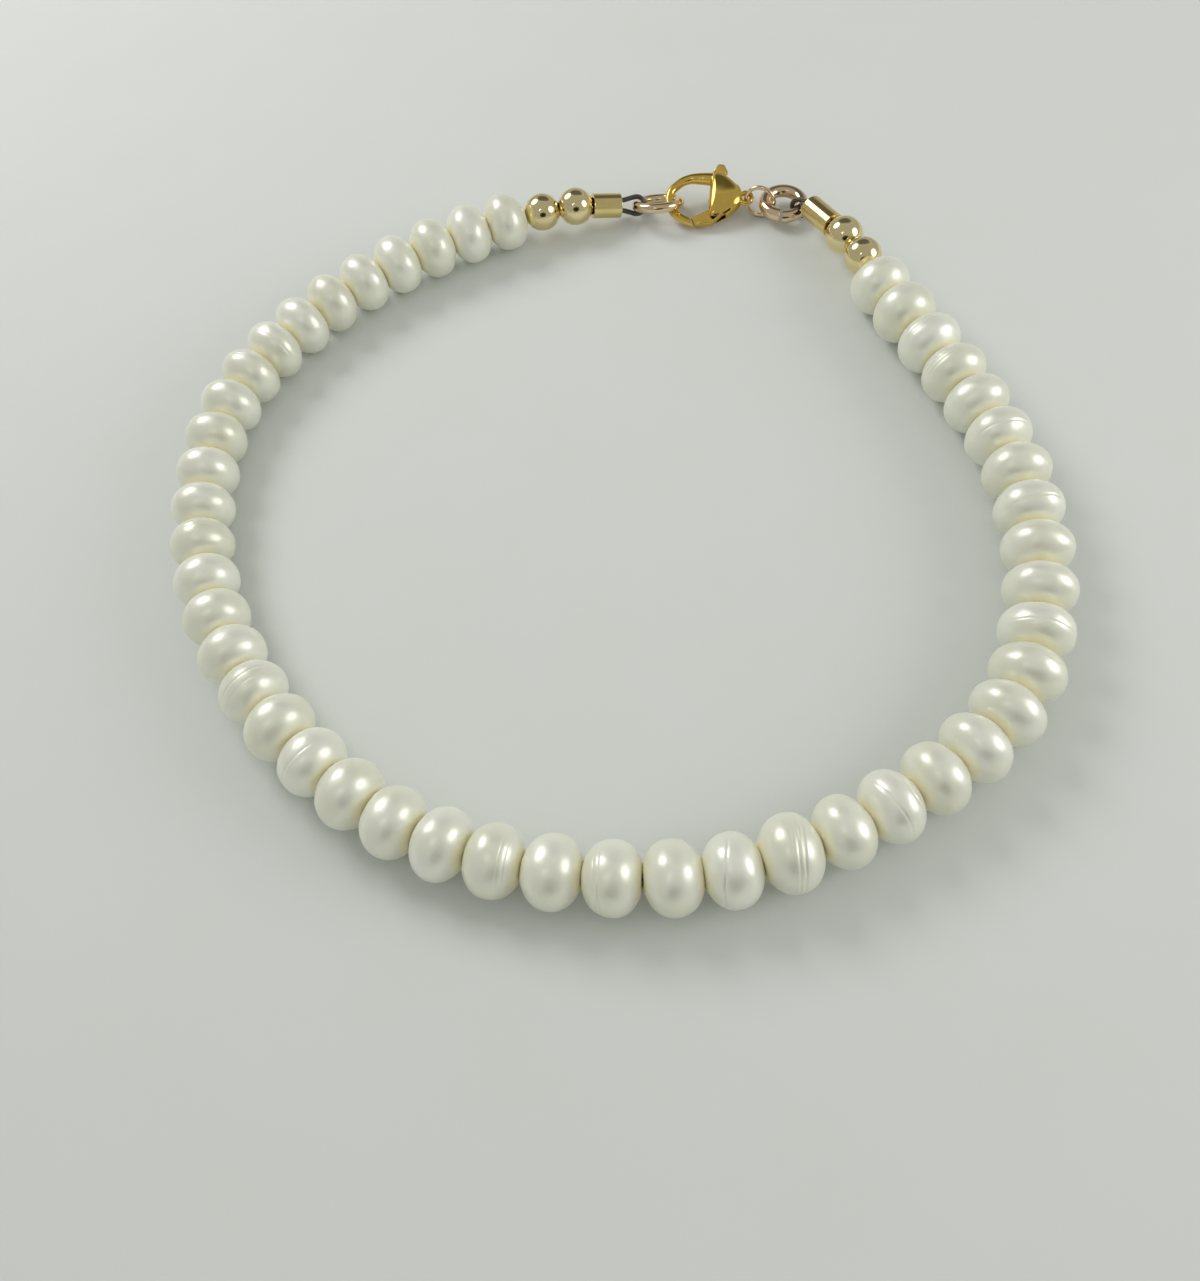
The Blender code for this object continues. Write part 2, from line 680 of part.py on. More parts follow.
def wire_loop(mouth, axis, tube_length, ring_point, outward, normal, ring_wire):
    """The wire's turned-back end: strand ends inside the tube, loop round the ring, strand to the beads.

    Points run from the cut end to where the wire leaves the tube for the string. The loop lies in the
    plane of the ring's outward direction and normal, and leaves the ring's wire as a taut thread would.
    """
    spread = WIRE_DIAMETER / 2 + WIRE_CLEARANCE
    side = (normal - axis * normal.dot(axis)).normalized()
    hug = ring_wire / 2 + WIRE_DIAMETER / 2 + WIRE_CLEARANCE
    reach = mouth - ring_point
    away, up = reach.dot(outward), reach.dot(normal)
    lean = math.atan2(up, away)
    half_opening = math.acos(min(0.99, hug / math.hypot(away, up)))
    first, last = lean - half_opening, lean + half_opening - math.tau
    turns = [first + (last - first) * k / LOOP_STEPS for k in range(LOOP_STEPS + 1)]
    inner = [mouth + axis * tube_length * TURNED_BACK_SHARE, mouth + axis * WIRE_CLEARANCE]
    points = [p - side * spread for p in inner]
    points += [ring_point + (outward * math.cos(t) + normal * math.sin(t)) * hug for t in turns]
    points += [p + side * spread for p in reversed(inner)] + [mouth + axis * tube_length]
    return smooth_curve(points, 2)


def add_tube(name, mouth, axis, length, material):
    """A crimp tube from its mouth along its axis."""
    sheet = bmesh.new()
    outer, inner = TUBE_DIAMETER / 2, TUBE_BORE / 2
    half = length / 2
    corners = [sheet.verts.new((r, 0.0, z)) for r, z in
               ((inner, half), (outer, half), (outer, -half), (inner, -half))]
    for a, b in zip(corners, corners[1:] + corners[:1]):
        sheet.edges.new((a, b))
    mesh = bpy.data.meshes.new(name)
    sheet.to_mesh(mesh)
    sheet.free()
    item = add_mesh(name, mesh, material)
    screw = item.modifiers.new("turned", "SCREW")
    screw.axis = "Z"
    screw.steps = BEAD_SIDES
    screw.render_steps = BEAD_SIDES
    screw.use_merge_vertices = True
    screw.merge_threshold = 0.002 * MM
    place_along(item, mouth + axis * half, axis)
    return item


def add_jump_ring(material, centre, turn):
    """The open jump ring: round wire whose two cut ends stand a little apart, one above the other."""
    sweep = math.tau - JUMP_RING_CUT
    points = []
    for k in range(RING_SIDES + 1):
        t = JUMP_RING_CUT_HEADING + JUMP_RING_CUT / 2 + sweep * k / RING_SIDES
        lift = JUMP_RING_STEP * (k / RING_SIDES - 0.5)
        points.append(Vector((JUMP_RING_RADIUS * math.cos(t), JUMP_RING_RADIUS * math.sin(t), lift)))
    item = add_tube_curve("jump_ring", points, JUMP_RING_WIRE, material)
    item.data.bevel_resolution = 1
    item.matrix_world = Matrix.Translation(centre) @ turn.to_4x4()
    return item


def centre_on_loop(root):
    """Bring the middle of the bracelet's plan box over the origin."""
    bpy.context.view_layer.update()
    graph = bpy.context.evaluated_depsgraph_get()
    corners = []
    for item in bpy.data.collections[COLLECTION].objects:
        if item.type in {"MESH", "CURVE"}:
            shown = item.evaluated_get(graph)
            mesh = shown.to_mesh()
            corners += [item.matrix_world @ vertex.co for vertex in mesh.vertices]
            shown.to_mesh_clear()
    for axis in (0, 1):
        values = [corner[axis] for corner in corners]
        root.location[axis] = -(min(values) + max(values)) / 2


def main():
    """Build the whole bracelet."""
    empty_scene()
    materials = {
        "pearl": make_material("cream pearl", (0.86, 0.83, 0.72), 0.22, 0.0),
        "gold": make_material("polished gold", (0.83, 0.60, 0.22), 0.15, 1.0),
        "wire": make_material("coated steel wire", (0.06, 0.06, 0.06), 0.35, 0.3),
    }
    gold = materials["gold"]

    clasp = Clasp(gold)
    clasp.build()

    ring_out = direction(CLOSED_RING_HEADING)
    hold = CLOSED_RING_RADIUS - CLOSED_RING_WIRE / 2 - HOOK_WIRE / 2 - LINK_GAP
    closed_centre = clasp.at(HOOK_REACH, CLOSED_RING_SLIDE) + ring_out * hold
    closed_turn = ring_turn(CLOSED_RING_HEADING, CLOSED_RING_TILT)
    add_ring("closed_ring", CLOSED_RING_RADIUS, CLOSED_RING_WIRE, gold, closed_centre, closed_turn)

    left_point = closed_centre + ring_out * CLOSED_RING_RADIUS
    left_mouth = left_point + direction(LEFT_LOOP_HEADING) * LEFT_LOOP_REACH
    left_mouth.z = LEFT_MOUTH_HEIGHT
    left_axis = tube_axis(LEFT_TUBE_HEADING, left_mouth, LEFT_TUBE_LENGTH)
    add_tube("crimp_tube_left", left_mouth, left_axis, LEFT_TUBE_LENGTH, gold)

    tail_out = direction(TAIL_RING_HEADING)
    tail_centre = clasp.at(-eye_reach(), 0.0) + tail_out * TAIL_RING_RADIUS
    tail_centre.z = TAIL_RING_RADIUS * math.sin(TAIL_RING_TILT) + TAIL_RING_WIRE / 2
    tail_turn = ring_turn(TAIL_RING_HEADING, TAIL_RING_TILT)
    add_ring("clasp_tail_ring", TAIL_RING_RADIUS, TAIL_RING_WIRE, gold, tail_centre, tail_turn)

    reach = TAIL_RING_RADIUS - TAIL_RING_WIRE / 2 - JUMP_RING_WIRE / 2 - LINK_GAP + JUMP_RING_RADIUS
    jump_centre = tail_centre + direction(JUMP_RING_HEADING) * reach
    jump_centre.z = WIRE_DIAMETER + 2 * WIRE_CLEARANCE + JUMP_RING_WIRE / 2
    jump_turn = ring_turn(0.0, 0.0)
    add_jump_ring(gold, jump_centre, jump_turn)

    loop_out = direction(JUMP_RING_LOOP_HEADING)
    right_point = jump_centre + loop_out * JUMP_RING_RADIUS
    right_mouth = right_point + direction(RIGHT_TUBE_HEADING) * RIGHT_LOOP_REACH
    right_mouth += Vector((0, 0, RIGHT_LOOP_LIFT))
    right_axis = tube_axis(RIGHT_TUBE_HEADING, right_mouth, RIGHT_TUBE_LENGTH)
    add_tube("crimp_tube_right", right_mouth, right_axis, RIGHT_TUBE_LENGTH, gold)

    start = left_mouth + left_axis * bead_step(LEFT_TUBE_LENGTH)
    end = right_mouth + right_axis * bead_step(RIGHT_TUBE_LENGTH)
    start.z = end.z = 0.0
    middles = add_string(materials, start, end, left_axis, right_axis)

    left_normal = closed_turn @ Vector((0, 0, 1))
    if left_normal.z < 0:
        left_normal.negate()
    left_loop = wire_loop(left_mouth, left_axis, LEFT_TUBE_LENGTH, left_point, ring_out, left_normal,
                          CLOSED_RING_WIRE)
    upright = Vector((0, 0, 1))
    right_loop = wire_loop(right_mouth, right_axis, RIGHT_TUBE_LENGTH, right_point, loop_out, upright,
                           JUMP_RING_WIRE)
    route = left_loop + middles + right_loop[::-1]
    add_tube_curve("beading_wire", route, WIRE_DIAMETER, materials["wire"])

    root = bpy.data.objects.new("bracelet_middle", None)
    bpy.data.collections[COLLECTION].objects.link(root)
    for item in list(bpy.data.collections[COLLECTION].objects):
        if item.parent is None and item is not root:
            item.parent = root
    centre_on_loop(root)


main()
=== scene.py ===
"""Looks of the pearl bracelet: freshwater pearls, gold beads, crimp tubes, rings and a lobster clasp.

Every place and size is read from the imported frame, in metres, or named here in millimetres times MM.
"""

import json
import logging
import math
from dataclasses import dataclass, field
from enum import Enum

import bpy
import numpy as np
from mathutils import Matrix, Vector


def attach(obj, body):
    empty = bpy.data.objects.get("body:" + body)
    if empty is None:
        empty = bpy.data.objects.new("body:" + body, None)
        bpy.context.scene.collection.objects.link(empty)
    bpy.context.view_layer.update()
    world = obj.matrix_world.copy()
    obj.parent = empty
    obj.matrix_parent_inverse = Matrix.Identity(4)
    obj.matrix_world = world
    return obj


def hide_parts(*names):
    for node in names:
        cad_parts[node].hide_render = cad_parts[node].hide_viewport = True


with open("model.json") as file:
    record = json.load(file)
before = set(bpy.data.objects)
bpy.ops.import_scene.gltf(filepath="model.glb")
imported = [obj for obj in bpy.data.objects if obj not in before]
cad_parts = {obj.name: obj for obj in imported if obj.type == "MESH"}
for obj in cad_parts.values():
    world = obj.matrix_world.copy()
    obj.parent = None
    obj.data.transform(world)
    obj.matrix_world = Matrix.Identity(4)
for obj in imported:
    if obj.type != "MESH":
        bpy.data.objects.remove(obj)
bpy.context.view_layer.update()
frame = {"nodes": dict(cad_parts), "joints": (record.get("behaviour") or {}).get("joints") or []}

MM = 0.001
# The clasp is cast at this many times its size, because Blender's voxels are no finer than 0.1 mm
CAST_SCALE = 1000.0
MERGE = 0.0005 * MM
MAIN_BODY = "bracelet"
LEVER_BODY = "lever"

Corners = tuple[tuple[float, float], ...]
Place = tuple[float, float, float]

log = logging.getLogger("bracelet")


class Alloy(Enum):
    """Which gold a piece is made of."""

    BEAD = "bead"
    TUBE = "tube"
    RING = "ring"
    CLASP = "clasp"


def linear(colour: str) -> tuple[float, float, float, float]:
    """Turn an sRGB hex colour into linear red, green, blue and alpha.

    Args:
        colour: the colour as "#RRGGBB".

    Returns:
        The linear colour, opaque.
    """
    shares = [int(colour[k:k + 2], 16) / 255 for k in (1, 3, 5)]
    bent = [s / 12.92 if s <= 0.04045 else ((s + 0.055) / 1.055) ** 2.4 for s in shares]
    return (bent[0], bent[1], bent[2], 1.0)


def add_node(tree: bpy.types.NodeTree, kind: str, sockets: dict | None = None,
             **settings: object) -> bpy.types.Node:
    """Add one shader node with its settings and links.

    Args:
        tree: the node tree to add to.
        kind: the node's Blender name.
        sockets: input name or number, and the value or the output socket that goes there.
        **settings: the node's own settings.

    Returns:
        The new node.
    """
    node = tree.nodes.new(kind)
    for name, value in settings.items():
        setattr(node, name, value)
    for socket, value in (sockets or {}).items():
        if isinstance(value, bpy.types.NodeSocket):
            tree.links.new(value, node.inputs[socket])
        else:
            node.inputs[socket].default_value = value
    return node


def blank_material(name: str) -> tuple[bpy.types.Material, bpy.types.NodeTree]:
    """Make a material with an empty node tree.

    Args:
        name: the material's name.

    Returns:
        The material and its tree.
    """
    material = bpy.data.materials.new(name)
    material.use_nodes = True
    material.node_tree.nodes.clear()
    return material, material.node_tree


@dataclass(frozen=True)
class Nacre:
    """Freshwater nacre: thin layers of aragonite, so a soft mirror lies over a cream body.

    The layers give broad blurred reflections, the tumbled surface two small sharper ones, and some light
    passes a little way in. Near both ends, where two pearls touch, the colour is painted a paler yellow: a
    painted glow for the light that shines through between them. The pearl's own "along" attribute is the
    share of its half length, from -1 to 1, and its "tone" attribute, from 0 to 1, sets it off from its
    neighbours.
    """

    name: str = "freshwater_nacre"
    light: str = "#F2F3E8"
    shade: str = "#E9E9D6"
    # Paler yellow painted on both ends where the pearls touch: a painted glow for light shining through
    # between them
    painted_glow: str = "#F4EFD2"
    painted_glow_start: float = 0.78
    patch: float = 3.5 * MM
    patch_range: tuple[float, float] = (0.35, 0.65)
    # The real layers' edges are far finer than a pixel, so the grain is drawn coarser
    grain: float = 0.45 * MM
    grain_height: float = 0.02 * MM
    relief: float = 0.10
    index: float = 1.60
    depth: float = 1.3 * MM
    depth_by_colour: tuple[float, float, float] = (1.0, 0.92, 0.60)
    coat: float = 0.05
    coat_roughness: float = 0.12
    coat_index: float = 1.50
    roughness: float = 0.34
    layers: float = 0.38
    end_layers: float = 0.10
    glow: float = 0.45
    tone_share: float = 0.45

    def make(self) -> bpy.types.Material:
        """Build the material.

        Returns:
            The material.
        """
        material, tree = blank_material(self.name)
        place = add_node(tree, "ShaderNodeTexCoord").outputs["Object"]
        cloud = add_node(tree, "ShaderNodeTexNoise", {"Vector": place, "Scale": 1 / self.patch,
                                                      "Detail": 2.0})
        low, high = self.patch_range
        ramp = add_node(tree, "ShaderNodeMapRange", {"Value": cloud.outputs["Fac"], "From Min": low,
                                                     "From Max": high})
        tone = add_node(tree, "ShaderNodeAttribute", attribute_name="tone")
        mood = add_node(tree, "ShaderNodeMix", {"Factor": self.tone_share, "A": ramp.outputs["Result"],
                                                "B": tone.outputs["Fac"]})
        body = add_node(tree, "ShaderNodeMix", {"Factor": mood.outputs["Result"], "A": linear(self.light),
                                                "B": linear(self.shade)}, data_type="RGBA")
        along = add_node(tree, "ShaderNodeAttribute", attribute_name="along")
        ends = add_node(tree, "ShaderNodeMath", {0: along.outputs["Fac"]}, operation="ABSOLUTE")
        near = add_node(tree, "ShaderNodeMapRange", {
            "Value": ends.outputs["Value"],
            "From Min": self.painted_glow_start,
            "From Max": 1.0,
        }, interpolation_type="SMOOTHSTEP")
        mirror = add_node(tree, "ShaderNodeMapRange", {
            "Value": near.outputs["Result"],
            "To Min": self.layers,
            "To Max": self.end_layers,
        })
        # Towards both ends the body colour turns into the paler yellow: painted glow where two pearls touch
        colour = add_node(tree, "ShaderNodeMix", {"Factor": near.outputs["Result"],
                                                  "A": body.outputs["Result"],
                                                  "B": linear(self.painted_glow)}, data_type="RGBA")
        fine = add_node(tree, "ShaderNodeTexNoise", {"Vector": place, "Scale": 1 / self.grain,
                                                     "Detail": 3.0})
        relief = add_node(tree, "ShaderNodeBump", {"Strength": self.relief, "Distance": self.grain_height,
                                                   "Height": fine.outputs["Fac"]})
        shader = add_node(tree, "ShaderNodeBsdfPrincipled", {
            "Base Color": colour.outputs["Result"],
            "Normal": relief.outputs["Normal"],
            "Metallic": mirror.outputs["Result"],
            "Roughness": self.roughness,
            "IOR": self.index,
            "Subsurface Weight": self.glow,
            "Subsurface Radius": self.depth_by_colour,
            "Subsurface Scale": self.depth,
            "Coat Weight": self.coat,
            "Coat Roughness": self.coat_roughness,
            "Coat IOR": self.coat_index,
        })
        add_node(tree, "ShaderNodeOutputMaterial", {"Surface": shader.outputs["BSDF"]})
        return material


@dataclass(frozen=True)
class PolishedGold:
    """Gold-filled metal, tumbled bright: mirror-like, with hair scratches and a faint unevenness."""

    name: str
    colour: str
    worn: str
    roughness: float = 0.10
    smoothest: float = 0.7
    roughest: float = 1.4
    # Real hair scratches are a few hundredths of a millimetre wide, and are drawn coarser so that they show
    scratch: float = 0.12 * MM
    scratch_range: tuple[float, float] = (0.3, 0.7)
    swell: float = 0.9 * MM
    swell_height: float = 0.02 * MM
    relief: float = 0.05

    def make(self) -> bpy.types.Material:
        """Build the material.

        Returns:
            The material.
        """
        material, tree = blank_material(self.name)
        place = add_node(tree, "ShaderNodeTexCoord").outputs["Object"]
        swell = add_node(tree, "ShaderNodeTexNoise", {"Vector": place, "Scale": 1 / self.swell,
                                                      "Detail": 2.0})
        colour = add_node(tree, "ShaderNodeMix", {"Factor": swell.outputs["Fac"], "A": linear(self.colour),
                                                  "B": linear(self.worn)}, data_type="RGBA")
        hair = add_node(tree, "ShaderNodeTexNoise", {"Vector": place, "Scale": 1 / self.scratch,
                                                     "Detail": 4.0, "Roughness": 0.7})
        low, high = self.scratch_range
        rough = add_node(tree, "ShaderNodeMapRange", {
            "Value": hair.outputs["Fac"],
            "From Min": low,
            "From Max": high,
            "To Min": self.roughness * self.smoothest,
            "To Max": self.roughness * self.roughest,
        })
        bump = add_node(tree, "ShaderNodeBump", {"Strength": self.relief, "Distance": self.swell_height,
                                                 "Height": swell.outputs["Fac"]})
        shader = add_node(tree, "ShaderNodeBsdfPrincipled", {
            "Base Color": colour.outputs["Result"],
            "Roughness": rough.outputs["Result"],
            "Normal": bump.outputs["Normal"],
            "Metallic": 1.0,
        })
        add_node(tree, "ShaderNodeOutputMaterial", {"Surface": shader.outputs["BSDF"]})
        return material


@dataclass(frozen=True)
class CoatedSteel:
    """Beading wire: twisted steel strands under clear grey nylon, dark with a soft shine."""

    name: str = "nylon_coated_steel"
    # dark is painted between the strands and pale on their crests: painted shade and painted sheen
    dark: str = "#1E1D1B"
    pale: str = "#5E5C57"
    # Seven strands make up the wire, each about this wide
    strand: float = 0.12 * MM
    waves: float = 0.32
    strand_height: float = 0.03 * MM
    relief: float = 0.3
    roughness: float = 0.28
    steel_share: float = 0.35
    nylon: float = 0.6
    nylon_roughness: float = 0.12

    def make(self) -> bpy.types.Material:
        """Build the material.

        Returns:
            The material.
        """
        material, tree = blank_material(self.name)
        place = add_node(tree, "ShaderNodeTexCoord").outputs["Object"]
        twist = add_node(tree, "ShaderNodeTexWave", {"Vector": place, "Scale": self.waves / self.strand,
                                                     "Distortion": 1.5}, bands_direction="DIAGONAL")
        # The twist's bands paint painted sheen on each strand's crest and painted shade between strands, as
        # the bump's relief
        colour = add_node(tree, "ShaderNodeMix", {"Factor": twist.outputs["Fac"], "A": linear(self.dark),
                                                  "B": linear(self.pale)}, data_type="RGBA")
        bump = add_node(tree, "ShaderNodeBump", {"Strength": self.relief, "Distance": self.strand_height,
                                                 "Height": twist.outputs["Fac"]})
        shader = add_node(tree, "ShaderNodeBsdfPrincipled", {
            "Base Color": colour.outputs["Result"],
            "Normal": bump.outputs["Normal"],
            "Roughness": self.roughness,
            "Metallic": self.steel_share,
            "Coat Weight": self.nylon,
            "Coat Roughness": self.nylon_roughness,
        })
        add_node(tree, "ShaderNodeOutputMaterial", {"Surface": shader.outputs["BSDF"]})
        return material


@dataclass(frozen=True)
class MattBoard:
    """White matt board under the bracelet: flat, with a very faint mottle."""

    name: str = "matt_white_board"
    near: str = "#D3D7D2"
    far: str = "#D8DAD7"
    mottle: float = 9.0 * MM
    roughness: float = 0.85

    def make(self) -> bpy.types.Material:
        """Build the material.

        Returns:
            The material.
        """
        material, tree = blank_material(self.name)
        place = add_node(tree, "ShaderNodeTexCoord").outputs["Object"]
        cloud = add_node(tree, "ShaderNodeTexNoise", {"Vector": place, "Scale": 1 / self.mottle,
                                                      "Detail": 3.0})
        colour = add_node(tree, "ShaderNodeMix", {"Factor": cloud.outputs["Fac"], "A": linear(self.near),
                                                  "B": linear(self.far)}, data_type="RGBA")
        shader = add_node(tree, "ShaderNodeBsdfPrincipled", {"Base Color": colour.outputs["Result"],
                                                             "Roughness": self.roughness})
        add_node(tree, "ShaderNodeOutputMaterial", {"Surface": shader.outputs["BSDF"]})
        return material


@dataclass(frozen=True)
class Seat:
    """Where a turned piece of the frame lies, all in metres."""

    middle: Vector
    axis: Vector
    reach: float
    inner: float
    half: float

    def placed(self) -> Matrix:
        """The matrix that lays a piece whose own axis is Z at the seat."""
        turn = Vector((0, 0, 1)).rotation_difference(self.axis).to_matrix().to_4x4()
        return Matrix.Translation(self.middle) @ turn


def seat_of(node: str) -> Seat:
    """Measure a turned node of the frame from its corners.

    Args:
        node: the node's name.

    Returns:
        Its middle, axis, greatest and least distance from the axis, and half its length.
    """
    corners = np.array([v.co for v in frame["nodes"][node].data.vertices], float)
    corners = np.unique(np.round(corners, 8), axis=0)
    middle = corners.mean(0)
    spread, ways = np.linalg.eigh(np.cov((corners - middle).T))
    lone = 0 if spread[1] - spread[0] > spread[2] - spread[1] else 2
    axis = ways[:, lone]
    along = (corners - middle) @ axis
    across = np.linalg.norm(corners - middle - np.outer(along, axis), axis=1)
    return Seat(Vector(middle), Vector(axis), across.max(), across.min(), np.abs(along).max())


def take_up(item: bpy.types.Object) -> None:
    """Select one object alone and make it active.

    Args:
        item: the object.
    """
    bpy.ops.object.select_all(action="DESELECT")
    item.select_set(True)
    bpy.context.view_layer.objects.active = item


def settle(item: bpy.types.Object) -> bpy.types.Object:
    """Put an object's place, turn and scale into its mesh.

    Args:
        item: the object.

    Returns:
        The same object, at the origin.
    """
    take_up(item)
    bpy.ops.object.transform_apply(location=True, rotation=True, scale=True)
    return item


def drawn_line(name: str, points: list[Vector], closed: bool) -> bpy.types.Object:
    """Draw a line of corners by extruding one corner from point to point.

    Args:
        name: the new object's name.
        points: the corners in order.
        closed: whether the last corner joins the first.

    Returns:
        The line as a mesh object at the origin.
    """
    bpy.ops.object.select_all(action="DESELECT")
    bpy.ops.mesh.primitive_plane_add(size=1, location=points[0])
    item = bpy.context.object
    item.name = name
    item.data.name = name
    settle(item)
    bpy.ops.object.mode_set(mode="EDIT")
    bpy.ops.mesh.select_all(action="SELECT")
    bpy.ops.mesh.merge(type="CENTER")
    route = points + points[:1] if closed else points
    for a, b in zip(route, route[1:]):
        bpy.ops.mesh.extrude_region_move(TRANSFORM_OT_translate={"value": b - a})
    bpy.ops.mesh.select_all(action="SELECT")
    bpy.ops.mesh.remove_doubles(threshold=MERGE)
    bpy.ops.object.mode_set(mode="OBJECT")
    return item


def turned(name: str, profile: list[tuple[float, float]], sides: int) -> bpy.types.Object:
    """Turn a closed half section round Z.

    Args:
        name: the new object's name.
        profile: distance from the axis and height of each corner.
        sides: how many sides the turned piece has.

    Returns:
        The turned piece, smooth, with its faces outwards.
    """
    item = drawn_line(name, [Vector((r, 0.0, z)) for r, z in profile], closed=True)
    screw = item.modifiers.new("turned", "SCREW")
    screw.axis = "Z"
    screw.steps = sides
    screw.render_steps = sides
    screw.use_merge_vertices = True
    screw.merge_threshold = MERGE
    bpy.ops.object.modifier_apply(modifier="turned")
    tidy_shell(item)
    return item


def tidy_shell(item: bpy.types.Object, angle: float = math.radians(50)) -> None:
    """Merge doubles, turn the faces outwards and shade smooth, keeping sharp edges sharp.

    Args:
        item: the object.
        angle: edges sharper than this stay sharp.
    """
    take_up(item)
    bpy.ops.object.mode_set(mode="EDIT")
    bpy.ops.mesh.select_all(action="SELECT")
    bpy.ops.mesh.remove_doubles(threshold=MERGE)
    bpy.ops.mesh.normals_make_consistent(inside=False)
    bpy.ops.object.mode_set(mode="OBJECT")
    bpy.ops.object.shade_smooth_by_angle(angle=angle)


def apply_all(item: bpy.types.Object) -> None:
    """Apply an object's modifiers in order.

    Args:
        item: the object.
    """
    take_up(item)
    for name in [modifier.name for modifier in item.modifiers]:
        bpy.ops.object.modifier_apply(modifier=name)


def dress(item: bpy.types.Object, material: bpy.types.Material) -> None:
    """Give a piece its one material.

    Args:
        item: the piece.
        material: its material.
    """
    item.data.materials.clear()
    item.data.materials.append(material)


def hang(item: bpy.types.Object, body: str, node: str) -> None:
    """Let a piece ride on a body and stand for a node of the frame.

    Args:
        item: the piece.
        body: the body's name.
        node: the node's name.
    """
    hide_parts(node)
    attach(item, body)


def arc_profile(radius: float, half: float, bore: float, fullness: float, steps: int,
                face: float = 1.0) -> list[tuple[float, float]]:
    """Half section of a drilled bead, from its upper mouth down its outer side, closed by its bore.

    Args:
        radius: the bead's outer radius.
        half: half its length, as if it weren't drilled.
        bore: the radius of its drill hole.
        fullness: 2 for an ellipse, more for a fuller form.
        steps: how many steps the outer side has.
        face: share of the half length at which a flat end face cuts the bead.

    Returns:
        Distance from the axis and height of each corner.
    """
    mouth = math.acos((bore / radius) ** (fullness / 2))
    points = []
    for k in range(steps + 1):
        t = mouth * (1 - 2 * k / steps)
        r = radius * math.cos(t) ** (2 / fullness)
        z = math.copysign(half * min(abs(math.sin(t)) ** (2 / fullness), face), t)
        points.append((r, z))
    return points


@dataclass(frozen=True)
class GrowthRing:
    """A groove part of the way round a pearl.

    Its place is a share of the pearl's half length along the string, its lean is in degrees, its depth and
    width in millimetres, and it is deepest where the pearl faces the camera.
    """

    pearl: int
    place: float
    depth: float
    width: float
    lean: float


GROWTH_RINGS = (
    GrowthRing(8, 0.30, 0.020, 0.09, 5),
    GrowthRing(9, -0.10, 0.030, 0.08, 10),
    GrowthRing(14, -0.15, 0.035, 0.08, 4),
    GrowthRing(18, -0.05, 0.045, 0.08, 3),
    GrowthRing(18, 0.28, 0.035, 0.08, 5),
    GrowthRing(20, 0.15, 0.035, 0.08, -6),
    GrowthRing(24, 0.42, 0.020, 0.06, 3),
    GrowthRing(24, 0.60, 0.025, 0.06, 3),
    GrowthRing(26, -0.38, 0.050, 0.07, 2),
    GrowthRing(26, -0.55, 0.045, 0.07, 3),
    GrowthRing(28, -0.22, 0.060, 0.06, -16),
    GrowthRing(29, -0.08, 0.020, 0.07, -10),
    GrowthRing(29, 0.14, 0.080, 0.08, -12),
    GrowthRing(29, 0.36, 0.070, 0.08, -14),
    GrowthRing(31, -0.30, 0.030, 0.08, 8),
    GrowthRing(31, 0.45, 0.030, 0.08, 8),
    GrowthRing(35, 0.20, 0.020, 0.08, 4),
    GrowthRing(36, 0.30, 0.030, 0.08, 4),
    GrowthRing(36, -0.28, 0.030, 0.08, 2),
    GrowthRing(39, -0.30, 0.035, 0.08, 6),
    GrowthRing(41, -0.32, 0.040, 0.08, -5),
    GrowthRing(43, 0.05, 0.040, 0.08, 5),
    GrowthRing(43, 0.28, 0.055, 0.08, 5),
    GrowthRing(43, 0.50, 0.045, 0.08, 6),
    GrowthRing(43, 0.70, 0.040, 0.08, 7),
    GrowthRing(44, 0.10, 0.035, 0.08, 5),
    GrowthRing(44, 0.34, 0.045, 0.08, 5),
    GrowthRing(44, 0.58, 0.035, 0.08, 6),
)


